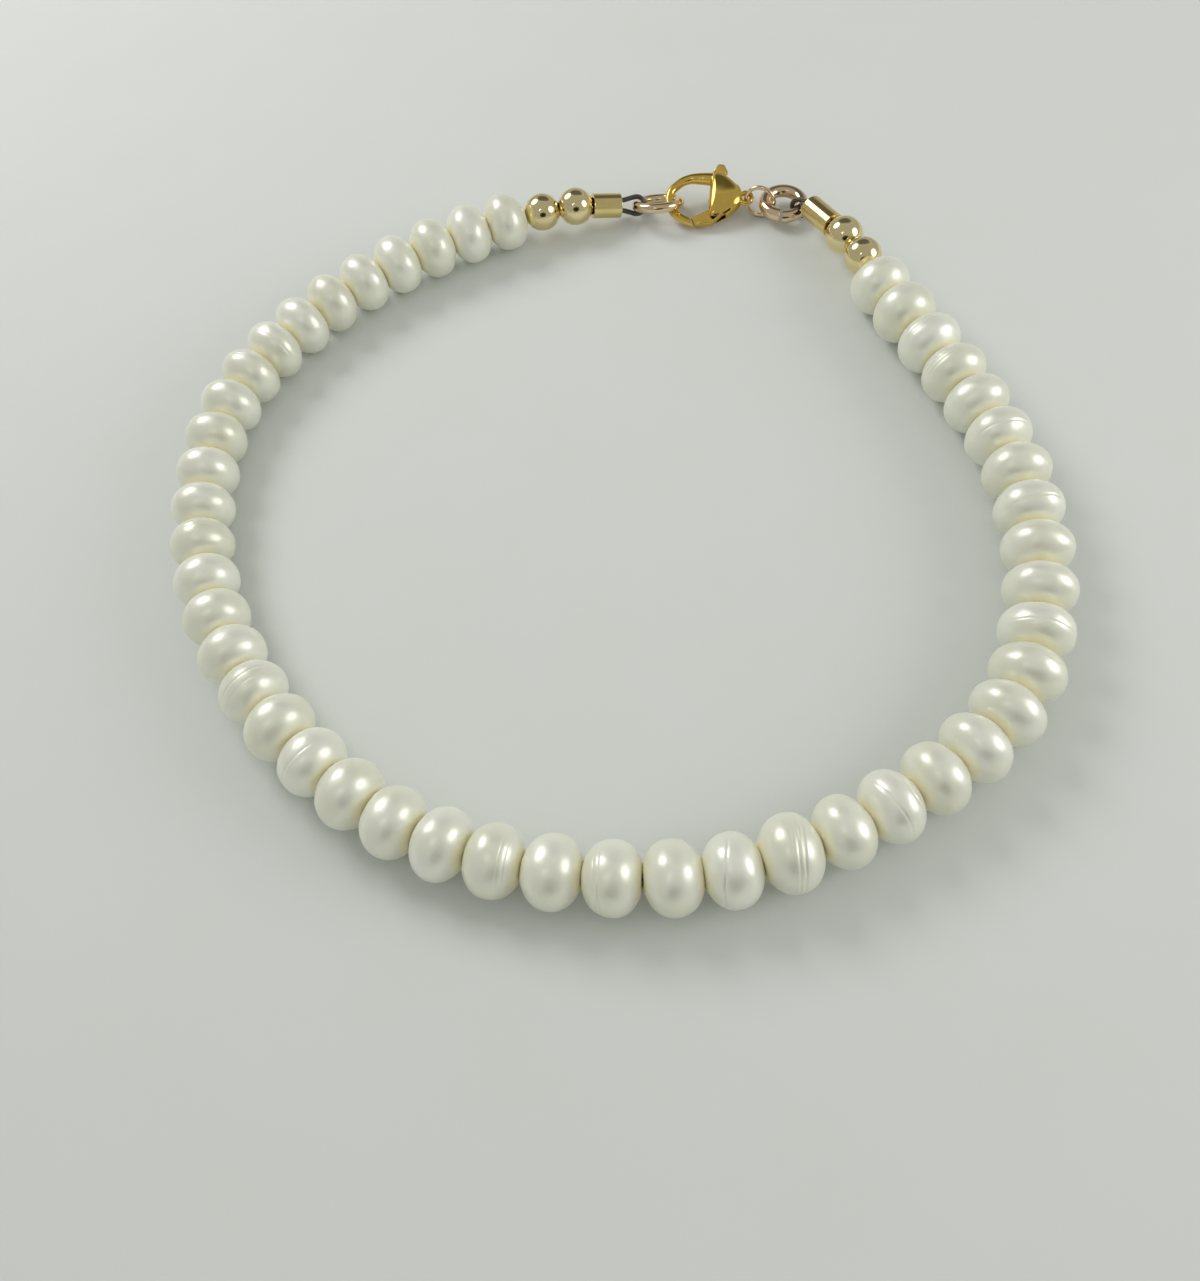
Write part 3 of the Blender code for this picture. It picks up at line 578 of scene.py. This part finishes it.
@dataclass
class PearlStrand:
    """The 46 freshwater pearls, each a drilled button of its own.

    A real one's two ends are worn flat where the neighbours press on it, so the profile is cut by a face.
    """

    nacre: Nacre = field(default_factory=Nacre)
    count: int = 46
    sides: int = 72
    plain_steps: int = 64
    fine_steps: int = 132
    bore: float = 0.40 * MM
    flats: int = 12
    fullness: float = 2.25
    roundness: float = 2.12
    face: float = 0.955
    closing: float = 0.045 * MM
    lump: float = 2.4 * MM
    lump_height: float = 0.16 * MM
    # Growth rings fade out past the half of each pearl that looks this way, up and to the front
    ring_side: Place = (0.0, -0.62, 0.78)
    ring_overrun: float = 0.15
    ring_fading: float = 1.3
    ring_lip: float = 0.5
    ring_lip_place: float = 1.5
    least_weight: float = 0.02
    tone_turn: float = 2.4

    def seats(self) -> list[Seat]:
        """Measure the pearls' seats, with every axis pointing on along the string.

        Returns:
            The seats in order.
        """
        found = [seat_of(f"pearl_{number:02d}") for number in range(1, self.count + 1)]
        turned_on = []
        for k, seat in enumerate(found):
            before, after = found[max(k - 1, 0)].middle, found[min(k + 1, self.count - 1)].middle
            onward = seat.axis if seat.axis.dot(after - before) > 0 else -seat.axis
            turned_on.append(Seat(seat.middle, onward, seat.reach, seat.inner, seat.half))
        return turned_on

    def true_sizes(self, seat: Seat) -> tuple[float, float]:
        """Work out the round pearl whose many-sided stand-in is at a seat.

        Args:
            seat: the stand-in's seat.

        Returns:
            The pearl's radius and half length.
        """
        radius = seat.reach * math.cos(math.pi / self.flats)
        mouth = math.acos((self.bore / radius) ** (self.fullness / 2))
        return radius, seat.half / math.sin(mouth) ** (2 / self.fullness)

    def make_master(self, name: str, radius: float, half: float, steps: int) -> bpy.types.Object:
        """Turn a pearl that others are copied from, its end faces at half its length."""
        profile = arc_profile(radius, half / self.face, self.bore, self.roundness, steps, self.face)
        return turned(name, profile, self.sides)

    def groove(self, item: bpy.types.Object, rings: list[GrowthRing], seat: Seat, half: float) -> None:
        """Sink growth rings into a pearl's surface.

        Args:
            item: the pearl.
            rings: its growth rings.
            seat: where it lies.
            half: half its length.
        """
        corners = np.array([v.co for v in item.data.vertices], float) - np.array(seat.middle)
        outward = corners - np.outer(corners @ np.array(seat.axis), np.array(seat.axis))
        outward /= np.linalg.norm(outward, axis=1)[:, None]
        facing = np.clip(outward @ np.array(self.ring_side) + self.ring_overrun, 0, 1) ** self.ring_fading
        for k, ring in enumerate(rings):
            normal = seat.axis.copy()
            normal.rotate(Matrix.Rotation(math.radians(ring.lean), 3, "Z"))
            distance = (corners @ np.array(normal) - ring.place * half) / (ring.width * MM)
            lip = self.ring_lip * np.exp(-(distance - self.ring_lip_place) ** 2)
            weights = (np.exp(-distance ** 2) - lip) * facing
            group = item.vertex_groups.new(name=f"ring_{k}")
            for index in np.flatnonzero(weights > self.least_weight):
                group.add([int(index)], float(weights[index]), "REPLACE")
            sink = item.modifiers.new(f"ring_{k}", "DISPLACE")
            sink.vertex_group = group.name
            sink.mid_level = 0.0
            sink.strength = -ring.depth * MM
        apply_all(item)
        item.vertex_groups.clear()

    def mark(self, item: bpy.types.Object, number: int, seat: Seat, half: float) -> None:
        """Store how far along its half length each corner of a pearl lies, and the pearl's own tone.

        Args:
            item: the pearl.
            number: its number on the string.
            seat: where it lies.
            half: half its length.
        """
        corners = np.array([v.co for v in item.data.vertices], float) - np.array(seat.middle)
        marks = item.data.attributes.new("along", "FLOAT", "POINT")
        marks.data.foreach_set("value", (corners @ np.array(seat.axis) / half).astype(np.float32))
        tones = item.data.attributes.new("tone", "FLOAT", "POINT")
        own = 0.5 + 0.5 * math.sin(number * self.tone_turn)
        tones.data.foreach_set("value", np.full(len(corners), own, np.float32))

    def build(self) -> list[bpy.types.Object]:
        """Copy a master to every seat, and make each pearl a little uneven in its own way.

        Returns:
            The pearls in order.
        """
        seats = self.seats()
        sizes = [self.true_sizes(seat) for seat in seats]
        radius = sum(r for r, _ in sizes) / self.count
        half = sum(h for _, h in sizes) / self.count
        plain = self.make_master("plain_pearl", radius, half, self.plain_steps)
        fine = self.make_master("fine_pearl", radius, half, self.fine_steps)
        unevenness = bpy.data.textures.new("nacre_unevenness", "CLOUDS")
        unevenness.noise_scale = self.lump
        unevenness.noise_depth = 1
        pearls = []
        for number, (seat, (own_radius, own_half)) in enumerate(zip(seats, sizes), 1):
            rings = [ring for ring in GROWTH_RINGS if ring.pearl == number]
            master = fine if rings else plain
            item = bpy.data.objects.new(f"nacre_pearl_{number:02d}", master.data.copy())
            bpy.context.scene.collection.objects.link(item)
            stretch = (own_radius / radius, own_radius / radius, (own_half + self.closing) / half)
            item.matrix_world = seat.placed() @ Matrix.Diagonal((*stretch, 1.0))
            settle(item)
            lumps = item.modifiers.new("lumps", "DISPLACE")
            lumps.texture = unevenness
            lumps.texture_coords = "LOCAL"
            lumps.strength = self.lump_height
            lumps.mid_level = 0.5
            self.groove(item, rings, seat, own_half)
            self.mark(item, number, seat, own_half)
            pearls.append(item)
        for master in (plain, fine):
            bpy.data.objects.remove(master, do_unlink=True)
        return pearls

    def make(self) -> None:
        """Build the pearls, dress them and hang them on the frame."""
        nacre = self.nacre.make()
        for number, item in enumerate(self.build(), 1):
            dress(item, nacre)
            hang(item, MAIN_BODY, f"pearl_{number:02d}")


@dataclass
class GoldBeads:
    """The four round gold beads beside the crimp tubes."""

    metal: bpy.types.Material
    sides: int = 72
    steps: int = 56
    flats: int = 12
    bore: float = 0.45 * MM
    fullness: float = 2.0

    def make(self) -> None:
        """Turn the beads, dress them and hang them on the frame."""
        for number in range(1, 5):
            node = f"gold_bead_{number}"
            seat = seat_of(node)
            radius = seat.reach * math.cos(math.pi / self.flats)
            profile = arc_profile(radius, radius, self.bore, self.fullness, self.steps)
            item = turned(f"round_{node}", profile, self.sides)
            item.matrix_world = seat.placed()
            settle(item)
            dress(item, self.metal)
            hang(item, MAIN_BODY, node)


@dataclass
class CrimpTubes:
    """The two crimp tubes: cut gold tube with lightly broken edges."""

    metal: bpy.types.Material
    sides: int = 64
    edge: float = 0.05 * MM
    edge_steps: int = 2
    sharp: float = math.radians(60)
    smooth: float = math.radians(40)

    def make(self) -> None:
        """Turn the tubes, bevel their ends, dress them and hang them on the frame."""
        for side in ("left", "right"):
            node = f"crimp_tube_{side}"
            seat = seat_of(node)
            profile = [(seat.inner, seat.half), (seat.reach, seat.half), (seat.reach, -seat.half),
                       (seat.inner, -seat.half)]
            item = turned(f"cut_{node}", profile, self.sides)
            bevel = item.modifiers.new("broken_edge", "BEVEL")
            bevel.width = self.edge
            bevel.segments = self.edge_steps
            bevel.limit_method = "ANGLE"
            bevel.angle_limit = self.sharp
            apply_all(item)
            bpy.ops.object.shade_smooth_by_angle(angle=self.smooth)
            item.matrix_world = seat.placed()
            settle(item)
            dress(item, self.metal)
            hang(item, MAIN_BODY, node)


@dataclass
class Rings:
    """The closed ring, the clasp's tail ring and the open jump ring, all of round wire."""

    metal: bpy.types.Material
    sides: int = 96
    wire_sides: int = 28
    cut: float = math.radians(8)
    cut_heading: float = math.radians(250)
    step: float = 0.16 * MM
    sharp: float = math.radians(60)

    def closed(self, name: str, node: str) -> bpy.types.Object:
        """Make a closed ring of round wire.

        Args:
            name: the new piece's name.
            node: the node whose seat it takes.

        Returns:
            The ring at its seat.
        """
        seat = seat_of(node)
        bpy.ops.object.select_all(action="DESELECT")
        bpy.ops.mesh.primitive_torus_add(major_radius=(seat.reach + seat.inner) / 2,
                                         minor_radius=(seat.reach - seat.inner) / 2,
                                         major_segments=self.sides, minor_segments=self.wire_sides)
        item = bpy.context.object
        item.name = name
        item.data.name = name
        bpy.ops.object.shade_smooth()
        item.matrix_world = seat.placed()
        return settle(item)

    def open(self, name: str, node: str) -> bpy.types.Object:
        """Make the jump ring: wire swept most of the way round, its cut ends a little apart.

        Args:
            name: the new piece's name.
            node: the node whose seat it takes.

        Returns:
            The ring at its seat.
        """
        seat = seat_of(node)
        upright = seat.axis if seat.axis.z > 0 else -seat.axis
        wire = (seat.reach - seat.inner) / 2
        radius = (seat.reach + seat.inner) / 2
        bpy.ops.object.select_all(action="DESELECT")
        bpy.ops.mesh.primitive_circle_add(vertices=self.wire_sides, radius=wire, fill_type="NGON",
                                          rotation=(math.pi / 2, 0, 0),
                                          location=(radius, 0, -self.step / 2))
        item = bpy.context.object
        item.name = name
        item.data.name = name
        settle(item)
        bpy.ops.object.mode_set(mode="EDIT")
        bpy.ops.mesh.select_all(action="SELECT")
        sweep = math.tau - self.cut
        for _ in range(self.sides):
            bpy.ops.mesh.extrude_region_move()
            bpy.ops.transform.rotate(value=-sweep / self.sides, orient_axis="Z",
                                     center_override=(0, 0, 0))
            bpy.ops.transform.translate(value=(0, 0, self.step / self.sides))
        bpy.ops.object.mode_set(mode="OBJECT")
        tidy_shell(item, self.sharp)
        start = self.cut_heading + self.cut / 2
        placed = Seat(seat.middle, upright, seat.reach, seat.inner, seat.half).placed()
        item.matrix_world = placed @ Matrix.Rotation(start, 4, "Z")
        return settle(item)

    def make(self) -> None:
        """Bend the rings, dress them and hang them on the frame."""
        made = (
            (self.closed("soldered_ring", "closed_ring"), "closed_ring"),
            (self.closed("small_tail_ring", "clasp_tail_ring"), "clasp_tail_ring"),
            (self.open("cut_jump_ring", "jump_ring"), "jump_ring"),
        )
        for item, node in made:
            dress(item, self.metal)
            hang(item, MAIN_BODY, node)


@dataclass
class Wire:
    """The coated beading wire: the frame's own wire, rounded."""

    steel: bpy.types.Material
    rounding: int = 2
    flat: float = math.radians(60)

    def make(self) -> None:
        """Round a copy of the frame's wire, dress it and hang it on the frame."""
        source = frame["nodes"]["beading_wire"]
        item = bpy.data.objects.new("coated_wire", source.data.copy())
        bpy.context.scene.collection.objects.link(item)
        tidy_shell(item)
        take_up(item)
        bpy.ops.object.mode_set(mode="EDIT")
        bpy.ops.mesh.select_all(action="SELECT")
        bpy.ops.mesh.tris_convert_to_quads(face_threshold=self.flat, shape_threshold=self.flat)
        bpy.ops.object.mode_set(mode="OBJECT")
        soften = item.modifiers.new("rounding", "SUBSURF")
        soften.levels = self.rounding
        soften.render_levels = self.rounding
        apply_all(item)
        bpy.ops.object.shade_smooth()
        dress(item, self.steel)
        hang(item, MAIN_BODY, "beading_wire")


@dataclass
class LobsterClasp:
    """The lobster clasp: cast body with hook and tail eye, and the lever with its gate and nub.

    Sizes are millimetres in the clasp's own axes: x towards the hook, y towards the nub, z down through it.
    """

    metal: bpy.types.Material
    pin: tuple[float, float] = (-1.35, -0.80)
    half_thickness: float = 1.0
    flat_face: float = 0.9
    rounding: int = 3
    voxel: float = 0.035
    smoothing: int = 4
    flow: float = 0.5
    slot_half: float = 0.55
    lever_half: float = 0.30
    lever_edge: float = 0.10
    lever_edge_steps: int = 4
    lever_sharp: float = math.radians(50)
    lever_smooth: float = math.radians(35)
    eye_reach: float = 3.38
    eye_radius: float = 0.48
    eye_wire: float = 0.40
    eye_sides: int = 48
    eye_wire_sides: int = 18
    crown: tuple[float, float] = (-1.05, -0.25)
    edge_share: float = 0.30
    # Outline of the body from the front of its nub side round to the front of its gate side
    outline: Corners = (
        (-0.25, 2.17), (-0.82, 2.24), (-1.59, 1.99), (-2.39, 1.34), (-3.12, 0.60),
        (-3.12, -0.60), (-2.59, -1.21), (-1.65, -1.98), (-0.88, -2.37), (-0.25, -2.24),
    )
    # The dome over it: share of the outline, share of the half thickness
    levels: Corners = ((0.95, 0.50), (0.74, 0.80), (0.40, 0.95), (0.10, 1.00))
    # The hook's bend from its root to its tip: x, y, share of the wire
    hook: tuple[Place, ...] = (
        (-0.55, 1.63, 1.50), (0.55, 1.66, 1.32), (1.58, 1.56, 1.08), (2.52, 0.96, 1.0), (3.04, 0.08, 1.0),
        (2.74, -1.27, 0.98), (1.95, -1.99, 0.96), (1.02, -2.40, 0.92), (0.57, -2.50, 0.92),
    )
    hook_wire: float = 0.74
    hook_sides: int = 6
    hook_steps: int = 12
    # The slot from its slanted front edge, round the nub's side, to the gate's side
    slot: Corners = (
        (0.62, -3.02), (1.22, -2.09), (1.22, -0.54), (-0.45, -0.54), (-0.45, 4.22), (-3.78, 4.22),
        (-2.16, -0.08), (-2.34, -0.54), (-2.36, -0.98), (-2.19, -1.39), (-1.86, -1.69), (-1.66, -3.02),
    )
    # The lever from its gate's slanted end, along the arm to the nub and back round the pin
    lever: Corners = (
        (0.67, -2.71), (1.07, -2.09), (-0.40, -1.31), (-0.54, -0.94), (-0.60, -0.45), (-0.95, -0.02),
        (-0.65, 2.13), (-0.40, 2.24), (-0.82, 2.92), (-1.28, 2.92), (-1.70, 2.24), (-1.45, 2.13),
        (-1.75, -0.02), (-2.10, -0.45), (-2.16, -0.94), (-1.93, -1.38), (-1.52, -1.61), (-0.73, -2.54),
    )

    def placed(self) -> Matrix:
        """Read the joint, to go from the clasp's own axes, in millimetres, to the bracelet's, in metres.

        Returns:
            The matrix from the one to the other.
        """
        joint = frame["joints"][0]
        down = Vector(joint["axis"]).normalized()
        ahead = Vector((0, 0, 1)).cross(down).normalized()
        aside = down.cross(ahead)
        turn = Matrix((ahead, aside, down)).transposed()
        middle = Vector(joint["pos_m"]) - turn @ Vector((*self.pin, 0.0)) * MM
        return Matrix.Translation(middle) @ turn.to_4x4() @ Matrix.Scale(1 / CAST_SCALE, 4)

    def plate(self, name: str, outline: Corners, low: float, high: float) -> bpy.types.Object:
        """Draw an outline, fill it and extrude it from one height to another.

        Args:
            name: the new piece's name.
            outline: its corners in order.
            low: the height of its lower face.
            high: the height of its upper face.

        Returns:
            The flat piece.
        """
        item = drawn_line(name, [Vector((x, y, low)) for x, y in outline], closed=True)
        bpy.ops.object.mode_set(mode="EDIT")
        bpy.ops.mesh.select_all(action="SELECT")
        bpy.ops.mesh.edge_face_add()
        bpy.ops.mesh.extrude_region_move(TRANSFORM_OT_translate={"value": (0, 0, high - low)})
        bpy.ops.object.mode_set(mode="OBJECT")
        tidy_shell(item)
        return item

    def cushion(self) -> bpy.types.Object:
        """Extrude and taper the outline into domes on both sides.

        Returns:
            The body before it is slotted.
        """
        edge = self.edge_share * self.half_thickness
        item = self.plate("cushion", self.outline, -edge, edge)
        for side in (-1, 1):
            bpy.ops.object.mode_set(mode="EDIT")
            bpy.ops.mesh.select_all(action="DESELECT")
            bpy.ops.object.mode_set(mode="OBJECT")
            for face in item.data.polygons:
                face.select = face.normal.z * side > self.flat_face
            bpy.ops.object.mode_set(mode="EDIT")
            height, width = edge, 1.0
            for share, level in self.levels:
                rise = level * self.half_thickness - height
                bpy.ops.mesh.extrude_region_move(TRANSFORM_OT_translate={"value": (0, 0, side * rise)})
                bpy.ops.transform.resize(value=(share / width, share / width, 1),
                                         center_override=(*self.crown, side * (height + rise)))
                height, width = height + rise, share
            bpy.ops.object.mode_set(mode="OBJECT")
        soften = item.modifiers.new("soften", "SUBSURF")
        soften.levels = self.rounding
        soften.render_levels = self.rounding
        apply_all(item)
        return item

    def hook_wire_piece(self) -> bpy.types.Object:
        """Bend the hook from wire that is thicker towards its root.

        Returns:
            The hook as a mesh.
        """
        bpy.ops.object.select_all(action="DESELECT")
        bpy.ops.curve.primitive_nurbs_path_add()
        path = bpy.context.object
        data = path.data
        data.splines.clear()
        spline = data.splines.new("BEZIER")
        spline.bezier_points.add(len(self.hook) - 1)
        for point, (x, y, share) in zip(spline.bezier_points, self.hook):
            point.co = (x, y, 0.0)
            point.radius = share
            point.handle_left_type = point.handle_right_type = "AUTO"
        data.dimensions = "3D"
        data.bevel_depth = self.hook_wire / 2
        data.bevel_resolution = self.hook_sides
        data.resolution_u = self.hook_steps
        data.use_fill_caps = True
        take_up(path)
        bpy.ops.object.convert(target="MESH")
        item = bpy.context.object
        settle(item)
        tidy_shell(item)
        return item

    def eye_piece(self) -> bpy.types.Object:
        """Make the tail eye, a small ring in the clasp's own plane.

        Returns:
            The eye.
        """
        bpy.ops.object.select_all(action="DESELECT")
        bpy.ops.mesh.primitive_torus_add(location=(-self.eye_reach, 0, 0), major_radius=self.eye_radius,
                                         minor_radius=self.eye_wire / 2, major_segments=self.eye_sides,
                                         minor_segments=self.eye_wire_sides)
        item = bpy.context.object
        return settle(item)

    def cast_body(self) -> bpy.types.Object:
        """Cut the slot, join body, hook and eye, and let the joints flow together as in a casting.

        Returns:
            The cast body.
        """
        body, hook, eye = self.cushion(), self.hook_wire_piece(), self.eye_piece()
        slot = self.plate("slot_cutter", self.slot, -self.slot_half, self.slot_half)
        for item in (body, hook):
            cut = item.modifiers.new("slot", "BOOLEAN")
            cut.operation = "DIFFERENCE"
            cut.object = slot
            cut.solver = "EXACT"
            apply_all(item)
        bpy.data.objects.remove(slot, do_unlink=True)
        take_up(body)
        hook.select_set(True)
        eye.select_set(True)
        bpy.ops.object.join()
        body.name = "cast_clasp_body"
        body.data.name = body.name
        melt = body.modifiers.new("melt", "REMESH")
        melt.mode = "VOXEL"
        melt.voxel_size = self.voxel
        flow = body.modifiers.new("flow", "SMOOTH")
        flow.factor = self.flow
        flow.iterations = self.smoothing
        apply_all(body)
        bpy.ops.object.shade_smooth()
        return body

    def lever_piece(self) -> bpy.types.Object:
        """Stamp the lever from plate and round its edges.

        Returns:
            The lever.
        """
        item = self.plate("sprung_lever", self.lever, -self.lever_half, self.lever_half)
        bevel = item.modifiers.new("rounded", "BEVEL")
        bevel.width = self.lever_edge
        bevel.segments = self.lever_edge_steps
        bevel.limit_method = "ANGLE"
        bevel.angle_limit = self.lever_sharp
        apply_all(item)
        bpy.ops.object.shade_smooth_by_angle(angle=self.lever_smooth)
        return item

    def make(self) -> None:
        """Cast the clasp, dress it and hang its pieces on the frame."""
        rows = (
            (self.cast_body(), MAIN_BODY, "clasp_body"),
            (self.lever_piece(), LEVER_BODY, "clasp_lever"),
        )
        for item, body, node in rows:
            item.matrix_world = self.placed()
            settle(item)
            dress(item, self.metal)
            hang(item, body, node)


@dataclass
class PhotoCamera:
    """The camera, fitted to the outlines of the pearls, in pixels of the 1200 by 1281 picture."""

    place: Place = (-2.60 * MM, -53.95 * MM, 69.16 * MM)
    pitch: float = math.radians(58.26)
    roll: float = math.radians(-10.0)
    focal: float = 1200.0
    picture: tuple[float, float] = (1200.0, 1281.0)
    middle: tuple[float, float] = (587.5, 641.35)
    sensor: float = 36.0
    nearest: float = 5 * MM
    farthest: float = 10.0

    def make(self) -> None:
        """Add the camera and make it the scene's."""
        wide, tall = self.picture
        turn = Matrix.Rotation(math.pi / 2 - self.pitch, 4, "X") @ Matrix.Rotation(self.roll, 4, "Z")
        bpy.ops.object.camera_add()
        camera = bpy.context.object
        camera.matrix_world = Matrix.Translation(self.place) @ turn
        camera.data.sensor_width = self.sensor
        camera.data.lens = self.focal * self.sensor / tall
        camera.data.shift_x = (wide / 2 - self.middle[0]) / tall
        camera.data.shift_y = (self.middle[1] - tall / 2) / tall
        camera.data.clip_start = self.nearest
        camera.data.clip_end = self.farthest
        bpy.context.scene.camera = camera


@dataclass(frozen=True)
class Lamp:
    """A round lamp: place, width in mirrors, width as a source, power and its face's brightness."""

    name: str
    place: Place
    size: float
    source: float
    power: float
    face: float


@dataclass
class Studio:
    """The pale table, two round lamps, cards that the pearls and the gold mirror, and the room's light."""

    board: MattBoard = field(default_factory=MattBoard)
    lamps: tuple[Lamp, ...] = (
        Lamp("key_lamp", (-132 * MM, 167 * MM, 183 * MM), 0.19, 0.13, 0.30, 4.8),
        Lamp("side_lamp", (194 * MM, -52 * MM, 96 * MM), 0.17, 0.12, 0.13, 3.6),
    )
    lamp_sides: int = 48
    lamp_edge: float = 0.35
    shade_place: Place = (-3 * MM, -150 * MM, 66 * MM)
    shade_size: tuple[float, float] = (0.20, 0.15)
    shade_light: float = 0.02
    bow_place: Place = (-40 * MM, -76 * MM, 134 * MM)
    bow_radius: float = 0.017
    bow_width: float = 0.004
    bow_light: float = 8.0
    bow_half: Place = (-0.7, 0.7, 0)
    ceiling_place: Place = (60 * MM, 210 * MM, 210 * MM)
    ceiling_size: tuple[float, float] = (0.42, 0.34)
    ceiling_light: float = 0.12
    card_sides: int = 32
    even_part: float = 0.44
    table: float = 3.0
    air_colour: str = "#E8E9E4"
    room: float = 0.655
    room_in_mirrors: float = 0.50

    def aimed(self, place: Place) -> Matrix:
        """The matrix of something at a place that faces the bracelet."""
        way = Vector(place)
        return Matrix.Translation(way) @ way.to_track_quat("Z", "Y").to_matrix().to_4x4()

    def lamp(self, row: Lamp) -> None:
        """Add a round lamp: its light, and a soft-edged face for what mirrors it.

        Args:
            row: the lamp.
        """
        bpy.ops.object.light_add(type="AREA")
        lamp = bpy.context.object
        lamp.name = row.name
        lamp.data.shape = "DISK"
        lamp.data.size = row.source
        lamp.data.energy = row.power
        lamp.matrix_world = self.aimed(row.place)
        lamp.visible_glossy = False
        bpy.ops.object.select_all(action="DESELECT")
        bpy.ops.mesh.primitive_circle_add(vertices=self.lamp_sides, radius=row.size / 2, fill_type="NGON")
        face = bpy.context.object
        face.name = f"{row.name}_face"
        face.matrix_world = self.aimed(row.place)
        material, tree = blank_material(face.name)
        light = self.fading(tree, row.size / 2, row.face, self.lamp_edge)
        self.mirrored_only(face, material, tree, light)

    def fading(self, tree: bpy.types.NodeTree, radius: float, middle: float,
               edge: float) -> bpy.types.NodeSocket:
        """The light of a round card, which changes softly from its middle to its edge.

        Args:
            tree: the material's tree.
            radius: the card's radius in its own units.
            middle: the strength in the middle.
            edge: the strength at the edge.

        Returns:
            The strength's output socket.
        """
        place = add_node(tree, "ShaderNodeTexCoord").outputs["Object"]
        out = add_node(tree, "ShaderNodeVectorMath", {0: place}, operation="LENGTH")
        fall = add_node(tree, "ShaderNodeMapRange", {
            "Value": out.outputs["Value"],
            "From Min": radius * self.even_part,
            "From Max": radius,
            "To Min": middle,
            "To Max": edge,
        }, interpolation_type="SMOOTHSTEP")
        return fall.outputs["Result"]

    def mirrored_only(self, item: bpy.types.Object, material: bpy.types.Material,
                      tree: bpy.types.NodeTree, light: float | bpy.types.NodeSocket) -> None:
        """Let only mirroring surfaces see a card.

        Args:
            item: the card.
            material: its blank material.
            tree: the material's tree.
            light: the strength of its own light, a number or an output socket.
        """
        glow = add_node(tree, "ShaderNodeEmission", {"Color": (1, 1, 1, 1), "Strength": light})
        add_node(tree, "ShaderNodeOutputMaterial", {"Surface": glow.outputs["Emission"]})
        item.data.materials.append(material)
        item.visible_camera = item.visible_diffuse = item.visible_shadow = False

    def shade_cards(self) -> None:
        """Add the dark cards that the pearls and the gold mirror, one in front and one high behind."""
        rows = (
            ("camera_shade", self.shade_place, self.shade_size, self.shade_light),
            ("upper_room", self.ceiling_place, self.ceiling_size, self.ceiling_light),
        )
        for name, place, size, light in rows:
            bpy.ops.object.select_all(action="DESELECT")
            bpy.ops.mesh.primitive_circle_add(vertices=self.card_sides, radius=0.5, fill_type="NGON")
            item = bpy.context.object
            item.name = name
            item.matrix_world = self.aimed(place) @ Matrix.Diagonal((*size, 1, 1))
            material, tree = blank_material(name)
            glow = self.fading(tree, 0.5, light, self.room_in_mirrors)
            self.mirrored_only(item, material, tree, glow)

    def bow_card(self) -> None:
        """Add the small bent light above the camera, half a ring."""
        bpy.ops.object.select_all(action="DESELECT")
        bpy.ops.mesh.primitive_circle_add(vertices=self.card_sides, radius=self.bow_radius)
        item = bpy.context.object
        item.name = "bent_light"
        bpy.ops.object.mode_set(mode="EDIT")
        bpy.ops.mesh.select_all(action="SELECT")
        bpy.ops.mesh.extrude_region_move()
        share = 1 - self.bow_width / self.bow_radius
        bpy.ops.transform.resize(value=(share, share, share))
        bpy.ops.mesh.select_all(action="SELECT")
        bpy.ops.mesh.bisect(plane_co=(0, 0, 0), plane_no=self.bow_half, clear_inner=True)
        bpy.ops.object.mode_set(mode="OBJECT")
        item.matrix_world = self.aimed(self.bow_place)
        self.mirrored_only(item, *blank_material(item.name), self.bow_light)

    def floor(self) -> None:
        """Add the table top."""
        bpy.ops.object.select_all(action="DESELECT")
        bpy.ops.mesh.primitive_plane_add(size=self.table)
        item = bpy.context.object
        item.name = "table_top"
        item.data.materials.append(self.board.make())

    def air(self) -> None:
        """Light the room evenly."""
        world = bpy.data.worlds.new("room")
        bpy.context.scene.world = world
        world.use_nodes = True
        world.node_tree.nodes.clear()
        ray = add_node(world.node_tree, "ShaderNodeLightPath")
        bright = add_node(world.node_tree, "ShaderNodeMapRange", {"Value": ray.outputs["Is Glossy Ray"],
                                                                  "To Min": self.room,
                                                                  "To Max": self.room_in_mirrors})
        sky = add_node(world.node_tree, "ShaderNodeBackground", {"Color": linear(self.air_colour),
                                                                 "Strength": bright.outputs["Result"]})
        add_node(world.node_tree, "ShaderNodeOutputWorld", {"Surface": sky.outputs["Background"]})

    def make(self) -> None:
        """Set up table, lamps, cards and room light."""
        self.floor()
        for row in self.lamps:
            self.lamp(row)
        self.shade_cards()
        self.bow_card()
        self.air()
        bpy.context.scene.view_settings.view_transform = "Standard"


def main() -> None:
    """Build and dress the bracelet, piece by piece."""
    logging.basicConfig(level=logging.INFO, format="%(message)s")
    golds = {
        Alloy.BEAD: PolishedGold("bright_gold_beads", "#F3E5B8", "#E8D69E").make(),
        Alloy.TUBE: PolishedGold("drawn_gold_tube", "#F0DDA2", "#E2CB84", roughness=0.14).make(),
        Alloy.RING: PolishedGold("gold_filled_wire", "#F0DAB8", "#E2C59C").make(),
        Alloy.CLASP: PolishedGold("cast_gold_clasp", "#EFCF70", "#DFBA56", roughness=0.12,
                                  relief=0.12).make(),
    }
    parts = (
        PhotoCamera(),
        Studio(),
        PearlStrand(),
        GoldBeads(golds[Alloy.BEAD]),
        CrimpTubes(golds[Alloy.TUBE]),
        Rings(golds[Alloy.RING]),
        Wire(CoatedSteel().make()),
        LobsterClasp(golds[Alloy.CLASP]),
    )
    for part in parts:
        part.make()
        log.info("made %s", type(part).__name__)


if __name__ == "__main__":
    main()
